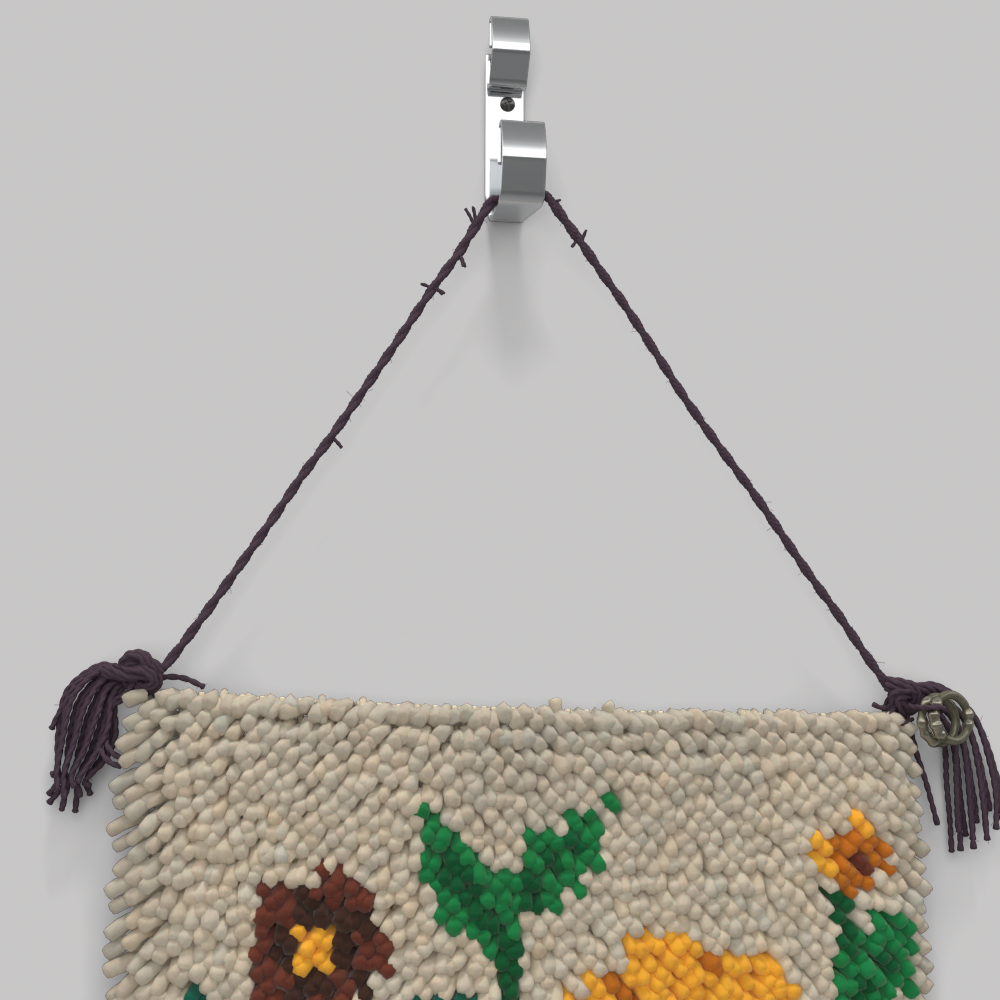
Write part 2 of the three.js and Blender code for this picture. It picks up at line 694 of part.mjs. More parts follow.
function addRing(name, { at, turn }) {
  const torus = new THREE.TorusGeometry(RING.radius, RING.wire, RING.sides, RING.segments);
  const ring = add(name, torus, MATERIALS.brass);
  ring.rotation.set(Math.PI / 2, 0, THREE.MathUtils.degToRad(turn), "ZXY");
  ring.position.set(...at);
}

add("hook_plate", plateAndLowerArm(), MATERIALS.plated);
add("hook_upper_arm", upperArmGeometry(), MATERIALS.plated);
add("hook_screw", screwGeometry(), MATERIALS.steel);
add("canvas", canvasGeometry(), MATERIALS.canvas);
add("pile", geometryOf(joined([pileSlab(), ...rimLocks()])), MATERIALS.pile);
add("cord", cordGeometry(), MATERIALS.yarn);
add("tassel_left", leftTassel(), MATERIALS.yarn);
add("tassel_right", rightTassel(), MATERIALS.yarn);
addRing("ring_front", RING_FRONT);
addRing("ring_back", RING_BACK);

export default hanging;
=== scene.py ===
"""Looks of a latch hook wall hanging on its strap hook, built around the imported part."""

from __future__ import annotations

import sys
import logging
import math
from dataclasses import dataclass, field
from enum import Enum
from typing import Callable, Optional, Protocol, Sequence

import bpy
import numpy as np
from mathutils import Matrix, Vector


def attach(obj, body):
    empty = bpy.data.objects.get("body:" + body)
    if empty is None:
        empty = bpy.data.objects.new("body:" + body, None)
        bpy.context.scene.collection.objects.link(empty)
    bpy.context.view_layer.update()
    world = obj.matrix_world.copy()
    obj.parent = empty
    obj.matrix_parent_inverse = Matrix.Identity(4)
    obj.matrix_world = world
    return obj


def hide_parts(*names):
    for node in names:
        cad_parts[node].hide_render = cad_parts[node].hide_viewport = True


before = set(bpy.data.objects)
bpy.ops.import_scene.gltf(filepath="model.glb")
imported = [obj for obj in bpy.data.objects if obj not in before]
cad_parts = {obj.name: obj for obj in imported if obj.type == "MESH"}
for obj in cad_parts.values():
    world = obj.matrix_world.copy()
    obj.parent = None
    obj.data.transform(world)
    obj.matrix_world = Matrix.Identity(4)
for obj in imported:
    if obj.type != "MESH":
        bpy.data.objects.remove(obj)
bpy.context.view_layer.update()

LOG = logging.getLogger("wall_hanging")
MM = 0.001
TURN = 2 * math.pi
FIBRE_RADIUS = 0.055
Point = Sequence[float]


# Numbers that more than one class needs: the canvas, in millimetres as in the part


@dataclass(frozen=True)
class CanvasPlan:
    """Where the canvas hangs: its mesh, its edges, its distance from the wall and the sag of its top fold."""

    mesh: float = 7.65
    columns: int = 40
    rows: int = 52
    left: float = -141.5
    height: float = 406.0
    thickness: float = 1.2
    layer_gap: float = 0.5
    hem: float = 26.0
    first_row: float = 4.4
    stand_off: tuple[float, float] = (9.5, 4.8)
    fold: tuple[tuple[float, float], ...] = (
        (-141.5, -234.8), (-102.0, -236.9), (-43.0, -239.7), (37.0, -241.1), (121.0, -241.8), (164.5, -240.6),
    )

    @property
    def right(self) -> float:
        """The x of the canvas's right edge."""
        return self.left + self.columns * self.mesh

    @property
    def fold_radius(self) -> float:
        """The radius that the middle of the canvas takes round its two folds."""
        return (self.layer_gap + self.thickness) / 2

    @property
    def cut_length(self) -> float:
        """The canvas's length before its hems were folded."""
        straight = self.height - 2 * (self.fold_radius + self.thickness / 2)
        hems = 2 * (self.hem - self.fold_radius - self.thickness / 2)
        return straight + hems + TURN * self.fold_radius

    def fold_height(self, x: np.ndarray) -> np.ndarray:
        """The height of the top fold.

        Args:
            x: Places across the canvas.

        Returns:
            The fold's z at each place.
        """
        return np.interp(x, [p[0] for p in self.fold], [p[1] for p in self.fold])

    def front(self, below: np.ndarray) -> np.ndarray:
        """The distance of the canvas's front face from the wall.

        Args:
            below: Distances below the top fold.

        Returns:
            The distance at each of them.
        """
        top, bottom = self.stand_off
        return top + (bottom - top) * np.clip(below / self.height, 0, 1)

    def along(self, s: np.ndarray) -> tuple[np.ndarray, np.ndarray, np.ndarray, np.ndarray]:
        """Follows the middle of the canvas from the end of its top hem to the end of its bottom hem.

        Args:
            s: Lengths along the cut canvas.

        Returns:
            The depth behind the front face, the distance below the fold, and the outward normal's two parts.
        """
        r = self.fold_radius
        edge = r + self.thickness / 2
        hem = self.hem - edge
        bend = math.pi * r
        straight = self.height - 2 * edge
        marks = np.array([0, hem, hem + bend, hem + bend + straight, hem + straight + 2 * bend])
        k = np.clip(np.searchsorted(marks, s, side="right") - 1, 0, 4)
        t = s - marks[k]
        turn = t / r
        depth = np.select(
            [k == 0, k == 1, k == 2, k == 3, k == 4],
            [edge + r, edge + r * np.cos(turn), edge - r, edge - r * np.cos(turn), edge + r],
        )
        below = np.select(
            [k == 0, k == 1, k == 2, k == 3, k == 4],
            [self.hem - t, edge - r * np.sin(turn), edge + t, self.height - edge + r * np.sin(turn),
             self.height - edge - t],
        )
        out = np.select(
            [k == 0, k == 1, k == 2, k == 3, k == 4], [1 + 0 * t, np.cos(turn), -1, -np.cos(turn), 1],
        )
        down = np.select([k == 1, k == 3], [-np.sin(turn), np.sin(turn)], 0 * t)
        return depth, below, out, down


CANVAS = CanvasPlan()


# Meshes


@dataclass
class Shell:
    """Points and faces that are still being gathered, in millimetres, with a colour for each point."""

    points: np.ndarray
    quads: np.ndarray
    tris: np.ndarray
    quad_uv: np.ndarray
    tri_uv: np.ndarray
    tint: np.ndarray

    @staticmethod
    def joined(shells: Sequence["Shell"]) -> "Shell":
        """Puts several shells in one.

        Args:
            shells: The shells to gather.

        Returns:
            One shell that holds them all.
        """
        starts = np.cumsum([0] + [len(s.points) for s in shells[:-1]])
        return Shell(
            np.concatenate([s.points for s in shells]),
            np.concatenate([s.quads + n for s, n in zip(shells, starts)]),
            np.concatenate([s.tris + n for s, n in zip(shells, starts)]),
            np.concatenate([s.quad_uv for s in shells]),
            np.concatenate([s.tri_uv for s in shells]),
            np.concatenate([s.tint for s in shells]),
        )

    def to_object(self, name: str) -> bpy.types.Object:
        """Makes a smooth-shaded mesh object of the shell, in metres.

        Args:
            name: The object's name.

        Returns:
            The new object, linked to the scene.
        """
        mesh = bpy.data.meshes.new(name)
        mesh.vertices.add(len(self.points))
        mesh.vertices.foreach_set("co", (self.points * MM).astype(np.float32).ravel())
        corners = np.concatenate([self.quads.ravel(), self.tris.ravel()]).astype(np.int32)
        mesh.loops.add(len(corners))
        mesh.loops.foreach_set("vertex_index", corners)
        starts = np.concatenate(
            [4 * np.arange(len(self.quads)), 4 * len(self.quads) + 3 * np.arange(len(self.tris))]
        ).astype(np.int32)
        mesh.polygons.add(len(starts))
        mesh.polygons.foreach_set("loop_start", starts)
        mesh.update(calc_edges=True)
        uv = mesh.uv_layers.new(name="UVMap")
        uv.data.foreach_set(
            "uv", np.concatenate([self.quad_uv.ravel(), self.tri_uv.ravel()]).astype(np.float32)
        )
        tint = mesh.color_attributes.new("tint", "FLOAT_COLOR", "POINT")
        tint.data.foreach_set("color", self.tint.astype(np.float32).ravel())
        mesh.polygons.foreach_set("use_smooth", np.ones(len(starts), bool))
        mesh.validate()
        obj = bpy.data.objects.new(name, mesh)
        bpy.context.scene.collection.objects.link(obj)
        return obj


def smooth_route(points: Sequence[Point], step: float) -> np.ndarray:
    """Draws a smooth line through points.

    Args:
        points: The points to pass through, in millimetres.
        step: The spacing of the line's own points.

    Returns:
        Evenly spaced points on the line.
    """
    p = np.asarray(points, float)
    p = np.vstack([2 * p[0] - p[1], p, 2 * p[-1] - p[-2]])
    t = np.linspace(0, 1, 16, endpoint=False)[:, None]
    spans = []
    for a, b, c, d in zip(p[:-3], p[1:-2], p[2:-1], p[3:]):
        spans.append(0.5 * (2 * b + (c - a) * t + (2 * a - 5 * b + 4 * c - d) * t**2
                            + (3 * b - 3 * c + d - a) * t**3))
    line = np.vstack([*spans, p[-2]])
    length = np.concatenate([[0], np.cumsum(np.linalg.norm(np.diff(line, axis=0), axis=1))])
    count = max(2, int(round(length[-1] / step)))
    at = np.linspace(0, length[-1], count + 1)
    return np.stack([np.interp(at, length, line[:, i]) for i in range(3)], 1)


def route_frames(path: np.ndarray) -> tuple[np.ndarray, np.ndarray, np.ndarray]:
    """Carries a cross direction along a path without letting it spin.

    Args:
        path: The path's points.

    Returns:
        The tangents, and two directions square to them, at each point.
    """
    tangent = np.gradient(path, axis=0)
    tangent /= np.linalg.norm(tangent, axis=1)[:, None]
    seed = np.array([0.0, 0.0, 1.0]) if abs(tangent[0][2]) < 0.9 else np.array([1.0, 0.0, 0.0])
    normals = np.zeros_like(path)
    n = np.cross(tangent[0], seed)
    for i, t in enumerate(tangent):
        n = n - t * n.dot(t)
        n /= np.linalg.norm(n)
        normals[i] = n
    return tangent, normals, np.cross(tangent, normals)


def lengths_along(path: np.ndarray) -> np.ndarray:
    """The distance from a path's start to each of its points."""
    return np.concatenate([[0], np.cumsum(np.linalg.norm(np.diff(path, axis=0), axis=1))])


def tube(
    path: np.ndarray,
    radius: np.ndarray,
    sides: int,
    tint: Point = (1.0, 1.0, 1.0),
    flat: float = 1.0,
    frames: Optional[tuple[np.ndarray, np.ndarray, np.ndarray]] = None,
) -> Shell:
    """A closed tube along a path, with a point at the middle of each end.

    Args:
        path: The tube's centre line.
        radius: Its radius at each point, or one radius.
        sides: How many sides it has.
        tint: Its colour.
        flat: Its second half width as a share of the first.
        frames: The directions to build it on, where the path's own aren't wanted.

    Returns:
        The tube, with u round it and v along it in millimetres.
    """
    tangent, normal, other = frames or route_frames(path)
    radius = np.broadcast_to(np.asarray(radius, float), (len(path),))
    angle = TURN * np.arange(sides) / sides
    ring = (np.cos(angle)[None, :, None] * normal[:, None, :]
            + flat * np.sin(angle)[None, :, None] * other[:, None, :])
    points = path[:, None, :] + radius[:, None, None] * ring
    bulge = 0.45
    ends = np.stack([path[0] - tangent[0] * radius[0] * bulge, path[-1] + tangent[-1] * radius[-1] * bulge])
    rows, n = len(path), len(path) * sides
    i, j = np.meshgrid(np.arange(rows - 1), np.arange(sides), indexing="ij")
    following = (j + 1) % sides
    here, there = i * sides, (i + 1) * sides
    quads = np.stack([here + j, here + following, there + following, there + j], -1)
    v = lengths_along(path)
    quad_uv = np.stack(
        [np.stack([j / sides, v[i]], -1), np.stack([(j + 1) / sides, v[i]], -1),
         np.stack([(j + 1) / sides, v[i + 1]], -1), np.stack([j / sides, v[i + 1]], -1)], -2,
    )
    k = np.arange(sides)
    after = (k + 1) % sides
    first = np.stack([after, k, np.full(sides, n)], -1)
    last = np.stack([(rows - 1) * sides + k, (rows - 1) * sides + after, np.full(sides, n + 1)], -1)
    tri_uv = np.concatenate([
        np.stack([np.stack([(k + 1) / sides, 0 * k], -1), np.stack([k / sides, 0 * k], -1),
                  np.stack([(k + 0.5) / sides, 0 * k - radius[0]], -1)], 1),
        np.stack([np.stack([k / sides, 0 * k + v[-1]], -1), np.stack([(k + 1) / sides, 0 * k + v[-1]], -1),
                  np.stack([(k + 0.5) / sides, 0 * k + v[-1] + radius[-1]], -1)], 1),
    ])
    count = n + 2
    colour = np.tile(np.array([*tint, 1.0]), (count, 1))
    return Shell(
        np.vstack([points.reshape(-1, 3), ends]), quads.reshape(-1, 4), np.concatenate([first, last]),
        quad_uv.reshape(-1, 4, 2), tri_uv, colour,
    )


@dataclass(frozen=True)
class Yarn:
    """A plied yarn: how thick it is, how many plies it has and how long their twist is."""

    radius: float
    plies: int = 2
    lay: float = 8.0
    sides: int = 6
    step: float = 1.0

    def laid(self, route: Sequence[Point], tint: Point,
             width: Callable[[np.ndarray], np.ndarray] = np.ones_like, phase: float = 0.0) -> Shell:
        """Lays the yarn along a route.

        Args:
            route: The points that it passes through.
            tint: Its colour.
            width: Its width along the way, as a share, from the share of the way that is done.
            phase: Where its plies start, in radians.

        Returns:
            The plies as closed tubes.
        """
        path = smooth_route(route, self.step)
        frames = route_frames(path)
        length = lengths_along(path)
        share = length / length[-1]
        scale = self.radius * width(share)
        offset, thick = (0.0, 1.0) if self.plies == 1 else (0.32, 0.75)
        shells = []
        for k in range(self.plies):
            turn = phase + TURN * (length / self.lay + k / self.plies)
            centre = path + (scale * offset)[:, None] * (
                np.cos(turn)[:, None] * frames[1] + np.sin(turn)[:, None] * frames[2])
            shells.append(tube(centre, scale * thick, self.sides, tint))
        return Shell.joined(shells)


class Bench:
    """Blender's own modelling tools, each started with nothing selected."""

    @staticmethod
    def clear() -> None:
        """Leaves edit mode and deselects everything."""
        if bpy.context.object and bpy.context.object.mode != "OBJECT":
            bpy.ops.object.mode_set(mode="OBJECT")
        bpy.ops.object.select_all(action="DESELECT")

    @classmethod
    def pick(cls, obj: bpy.types.Object) -> None:
        """Selects one object and makes it the active one."""
        cls.clear()
        obj.select_set(True)
        bpy.context.view_layer.objects.active = obj

    @classmethod
    def modify(cls, obj: bpy.types.Object, kind: str, **settings: object) -> None:
        """Adds a modifier with its settings and applies it.

        Args:
            obj: The object to change.
            kind: The modifier's type.
            **settings: Its settings by name.
        """
        cls.pick(obj)
        modifier = obj.modifiers.new(kind.lower(), kind)
        for name, value in settings.items():
            setattr(modifier, name, value)
        bpy.ops.object.modifier_apply(modifier=modifier.name)

    @classmethod
    def cut(cls, obj: bpy.types.Object, cutter: bpy.types.Object) -> None:
        """Takes one shape out of another and removes the cutter."""
        cls.modify(obj, "BOOLEAN", operation="DIFFERENCE", object=cutter, solver="EXACT")
        bpy.data.objects.remove(cutter)

    @classmethod
    def smooth(cls, obj: bpy.types.Object, degrees: float = 35.0) -> None:
        """Shades an object smooth except over its sharper edges."""
        cls.pick(obj)
        bpy.ops.object.shade_smooth_by_angle(angle=math.radians(degrees))

    @classmethod
    def face_outwards(cls, obj: bpy.types.Object) -> None:
        """Turns every face of a closed shape outwards."""
        cls.pick(obj)
        bpy.ops.object.mode_set(mode="EDIT")
        bpy.ops.mesh.select_all(action="SELECT")
        bpy.ops.mesh.normals_make_consistent(inside=False)
        bpy.ops.object.mode_set(mode="OBJECT")

    @classmethod
    def join(cls, first: bpy.types.Object, *others: bpy.types.Object) -> bpy.types.Object:
        """Joins objects into the first one and returns it."""
        cls.pick(first)
        for other in others:
            other.select_set(True)
        bpy.ops.object.join()
        return first

    @classmethod
    def place(cls, obj: bpy.types.Object, matrix: Matrix) -> None:
        """Moves an object's mesh, and not the object, and puts millimetres in metres."""
        obj.data.transform(Matrix.Scale(MM, 4) @ matrix @ obj.matrix_world)
        obj.matrix_world = Matrix.Identity(4)

    @staticmethod
    def settle(obj: bpy.types.Object, name: str, slot: str, finish: "Finish",
               *nodes: str) -> bpy.types.Object:
        """Gives a finished piece its name, finish and place in the frame.

        Args:
            obj: The piece.
            name: Its name.
            slot: Not used.
            finish: What it is made of.
            *nodes: The solids that it stands for.

        Returns:
            The same piece.
        """
        obj.name = name
        obj.data.materials.clear()
        obj.data.materials.append(finish.material())
        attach(obj, "root")
        if nodes:
            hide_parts(*nodes)
        LOG.info("%s: %d faces", name, len(obj.data.polygons))
        return obj


# Finishes


class Value:
    """A number in a material's nodes that Python's operators work on."""

    def __init__(self, shader: "Shader", socket: bpy.types.NodeSocket) -> None:
        """Wraps a socket of the shader's tree."""
        self.shader = shader
        self.socket = socket

    def _math(self, operation: str, *others: object, first: Optional[object] = None) -> "Value":
        """Adds one Math node and returns its result."""
        values = [self if first is None else first, *(others if first is None else [self])]
        return self.shader.node("Math", {"operation": operation}, dict(enumerate(values))).out()

    def __add__(self, other: object) -> "Value":
        """self + other."""
        return self._math("ADD", other)

    __radd__ = __add__

    def __mul__(self, other: object) -> "Value":
        """self * other."""
        return self._math("MULTIPLY", other)

    __rmul__ = __mul__

    def __sub__(self, other: object) -> "Value":
        """self - other."""
        return self._math("SUBTRACT", other)

    def __rsub__(self, other: object) -> "Value":
        """other - self."""
        return self._math("SUBTRACT", first=other)

    def __truediv__(self, other: object) -> "Value":
        """self / other."""
        return self._math("DIVIDE", other)

    def __pow__(self, other: object) -> "Value":
        """self to the power of other."""
        return self._math("POWER", other)

    def sin(self) -> "Value":
        """The sine of the value, in radians."""
        return self._math("SINE")

    def clamp(self) -> "Value":
        """The value kept between 0 and 1."""
        return self.shader.node("Clamp", {}, {0: self}).out()


class Added:
    """A node that has just been added, with its results by name."""

    def __init__(self, shader: "Shader", node: bpy.types.Node) -> None:
        """Keeps the node and its tree."""
        self.shader = shader
        self.node = node

    def out(self, name: object = 0) -> Value:
        """One result of the node, by its name or place."""
        return Value(self.shader, self.node.outputs[name])


class Shader:
    """The nodes of one material or of the world."""

    def __init__(self, tree: bpy.types.NodeTree) -> None:
        """Starts with an empty tree."""
        self.tree = tree
        tree.nodes.clear()

    def node(self, kind: str, settings: dict[str, object], sockets: dict[object, object]) -> Added:
        """Adds a node.

        Args:
            kind: The node's type, without its prefix.
            settings: Its own settings, set first; stops holds a ramp's places and colours.
            sockets: What goes into its sockets, values or links, by name or place.

        Returns:
            The node.
        """
        node = self.tree.nodes.new("ShaderNode" + kind)
        for name, value in settings.items():
            if name != "stops":
                setattr(node, name, value)
                continue
            elements = node.color_ramp.elements
            while len(elements) < len(value):
                elements.new(0.5)
            for element, (place, colour) in zip(elements, value):
                element.position = place
                element.color = (*colour, 1.0)
        for name, value in sockets.items():
            if isinstance(value, Value):
                self.tree.links.new(value.socket, node.inputs[name])
            else:
                node.inputs[name].default_value = value
        return Added(self, node)

    def mix(self, factor: object, a: object, b: object, blend: str = "MIX") -> Value:
        """Mixes two colours.

        Args:
            factor: How much of the second.
            a: The first colour.
            b: The second colour.
            blend: How they are mixed.

        Returns:
            The mixed colour.
        """
        settings = {"data_type": "RGBA", "blend_type": blend}
        return self.node("Mix", settings, {0: factor, 6: a, 7: b}).out(2)

    def split_uv(self) -> tuple[Value, Value]:
        """The two parts of the piece's own UV map."""
        uv = self.node("UVMap", {"uv_map": "UVMap"}, {}).out()
        parts = self.node("SeparateXYZ", {}, {0: uv})
        return parts.out(0), parts.out(1)

    def place(self) -> Value:
        """The Object coordinates."""
        return self.node("TexCoord", {}, {}).out("Object")

    def painted(self, name: str) -> Value:
        """The colour that the piece carries under a name."""
        return self.node("Attribute", {"attribute_name": name}, {}).out("Color")

    def noise(self, vector: Value, scale: float, detail: float = 3.0, rough: float = 0.5) -> Value:
        """A noise that runs from 0 to 1."""
        sockets = {"Vector": vector, "Scale": scale, "Detail": detail, "Roughness": rough}
        return self.node("TexNoise", {}, sockets).out(0)

    def bump(self, height: Value, distance: float, strength: float = 1.0) -> Value:
        """A normal from a height, in metres."""
        sockets = {"Height": height, "Distance": distance, "Strength": strength}
        return self.node("Bump", {}, sockets).out()

    def surface(self, sockets: dict[object, object]) -> None:
        """Ends the material in one principled shader with these sockets."""
        shader = self.node("BsdfPrincipled", {}, sockets)
        self.node("OutputMaterial", {}, {0: shader.out()})


class Finish:
    """What a piece is made of."""

    name: str

    def dress(self, shader: Shader) -> None:
        """Fills the new material's nodes."""
        raise NotImplementedError

    def material(self) -> bpy.types.Material:
        """The finish's material, made once."""
        if self.name in bpy.data.materials:
            return bpy.data.materials[self.name]
        material = bpy.data.materials.new(self.name)
        material.use_nodes = True
        self.dress(Shader(material.node_tree))
        return material


@dataclass(frozen=True)
class YarnFinish(Finish):
    """Twisted yarn: its dye from the piece's own colours, with fibres, a twist, painted shade in the grooves
    between its plies, a soft sheen, and a painted glow of its own colour where its emission is set.
    """

    name: str
    twist: float
    strands: int
    relief: float
    # how strong the random fibre and patch flecks are, and the painted shade in the grooves between plies
    fleck_and_groove_shade: float
    sheen: float
    sheen_tint: tuple[float, float, float]
    glow: float = 0.0
    # strength of a painted glow: the yarn gives off light of its own colour, which lightens its shaded
    # crevices
    painted_glow: float = 0.0

    def dress(self, shader: Shader) -> None:
        """Fills the yarn's nodes."""
        around, along = shader.split_uv()
        dye = shader.painted("tint")
        ply = ((around * self.strands + along / self.twist) * TURN).sin() * 0.5 + 0.5
        drawn = {0: around * 9.0 + along / self.twist * 2.0, 1: along * 0.35, 2: 0.0}
        fibre = shader.noise(shader.node("CombineXYZ", {}, drawn).out(), 2.6, 4.0, 0.6)
        patch = shader.noise(shader.place(), 160.0, 2.0)
        # random fibre and patch flecks, and painted shade in the grooves between the plies
        shade = 1.0 - self.fleck_and_groove_shade * (0.55 - fibre * 0.9) - (1.0 - ply) * self.fleck_and_groove_shade * 0.5
        shade = shade - (patch - 0.5) * self.fleck_and_groove_shade
        light = shader.node("CombineXYZ", {}, {0: shade, 1: shade, 2: shade}).out()
        colour = shader.mix(1.0, dye, light, "MULTIPLY")
        height = ply ** 0.6 * 0.7 + fibre * 0.5
        shader.surface({
            "Base Color": colour,
            "Roughness": 0.92,
            "Specular IOR Level": 0.22,
            "Subsurface Weight": self.glow,
            "Subsurface Scale": self.relief * 4 * MM,
            # painted glow: the yarn gives off light of its own colour, which lightens the pile's shaded
            # crevices
            "Emission Color": colour,
            "Emission Strength": self.painted_glow,
            "Sheen Weight": self.sheen,
            "Sheen Roughness": 0.45,
            "Sheen Tint": (*self.sheen_tint, 1.0),
            "Normal": shader.bump(height, self.relief * MM, 0.8),
        })


@dataclass(frozen=True)
class PlatedSteel(Finish):
    """Bright plated strap: mirror-like and a little wavy, dark on its cut edges, and with painted shade
    inside its tips.
    """

    name: str = "plated_steel"

    def dress(self, shader: Shader) -> None:
        """Fills the plating's nodes."""
        place = shader.place()
        lined = shader.node("Mapping", {}, {0: place, 3: (20.0, 60.0, 900.0)}).out()
        lines = shader.noise(lined, 3.0, 3.0, 0.7)
        wave = shader.noise(place, 170.0, 1.0)
        smudge = shader.noise(place, 90.0, 4.0, 0.6)
        # rougher dull specks on the plating
        speck = shader.noise(place, 900.0, 2.0)
        dull = ((speck - 0.68) * 9.0).clamp()
        rough = 0.09 + (smudge - 0.4) * 0.12 + lines * 0.04 + dull * 0.2
        colour = shader.mix((smudge - 0.35).clamp() * 0.6, (0.82, 0.82, 0.83, 1.0), (0.7, 0.7, 0.71, 1.0))
        # dark and rough on the cut edges, which face sideways; painted shade on the turned-in tongue inside
        # each tip, which stands for the dark reflection inside the curl
        facing = shader.node("SeparateXYZ", {}, {0: shader.node("NewGeometry", {}, {}).out("Normal")}).out(0)
        inside = shader.node("SeparateColor", {}, {0: shader.painted("dull")}).out(0)
        dark_edges_and_tip_shade = ((facing * facing - 0.6) * 3.0 + inside).clamp()
        colour = shader.mix(dark_edges_and_tip_shade * 0.9, colour, (0.06, 0.06, 0.065, 1.0))
        rough = rough + dark_edges_and_tip_shade * 0.3
        shader.surface({
            "Base Color": colour,
            "Metallic": 1.0,
            "Roughness": rough.clamp(),
            "Normal": shader.bump(lines * 0.05 + wave, 0.2 * MM),
        })


@dataclass(frozen=True)
class DarkSteel(Finish):
    """The screw's blackened steel, worn bright where a driver has touched it."""

    name: str = "dark_screw_steel"

    def dress(self, shader: Shader) -> None:
        """Fills the screw's nodes."""
        worn = shader.noise(shader.place(), 700.0, 3.0, 0.6)
        colour = shader.mix(((worn - 0.5) * 3.0).clamp(), (0.16, 0.155, 0.15, 1.0), (0.42, 0.41, 0.4, 1.0))
        shader.surface({
            "Base Color": colour,
            "Metallic": 0.95,
            "Roughness": 0.42 - worn * 0.25,
            "Normal": shader.bump(worn, 0.05 * MM, 0.4),
        })


@dataclass(frozen=True)
class AgedBrass(Finish):
    """Old pale brass: grey-green in the hollows, rubbed bright on the high places."""

    name: str = "aged_brass"

    def dress(self, shader: Shader) -> None:
        """Fills the brass's nodes."""
        place = shader.place()
        high = shader.node("SeparateColor", {}, {0: shader.painted("tint")}).out(0)
        mottle = shader.noise(place, 420.0, 4.0, 0.65)
        rubbed = (high * 1.1 + (mottle - 0.5) * 0.7 - 0.2).clamp()
        dark = shader.mix(mottle, (0.1, 0.095, 0.06, 1.0), (0.2, 0.185, 0.125, 1.0))
        shader.surface({
            "Base Color": shader.mix(rubbed, dark, (0.5, 0.46, 0.36, 1.0)),
            "Metallic": 0.7 + rubbed * 0.3,
            "Roughness": 0.5 - rubbed * 0.24,
            "Normal": shader.bump(mottle, 0.06 * MM, 0.5),
        })


@dataclass(frozen=True)
class Plain(Finish):
    """Even matt grey, for what isn't part of the object."""

    name: str
    level: float

    def dress(self, shader: Shader) -> None:
        """Fills the grey's nodes."""
        shader.surface({"Base Color": (self.level, self.level, self.level, 1.0), "Roughness": 0.9})


WOOL = YarnFinish("pile_wool", 11.0, 2, 0.3, 0.2, 0.25, (1.0, 0.97, 0.9), 0.35, 0.17)
CORD_YARN = YarnFinish("cord_yarn", 4.0, 2, 0.16, 0.4, 0.3, (0.75, 0.6, 0.72))
COTTON = YarnFinish("canvas_cotton", 3.0, 3, 0.12, 0.25, 0.1, (1.0, 1.0, 1.0))
PLATED = PlatedSteel()
SCREW_STEEL = DarkSteel()
BRASS = AgedBrass()
AUBERGINE = (0.052, 0.028, 0.044)
CANVAS_CREAM = (0.56, 0.49, 0.36)


# The cord


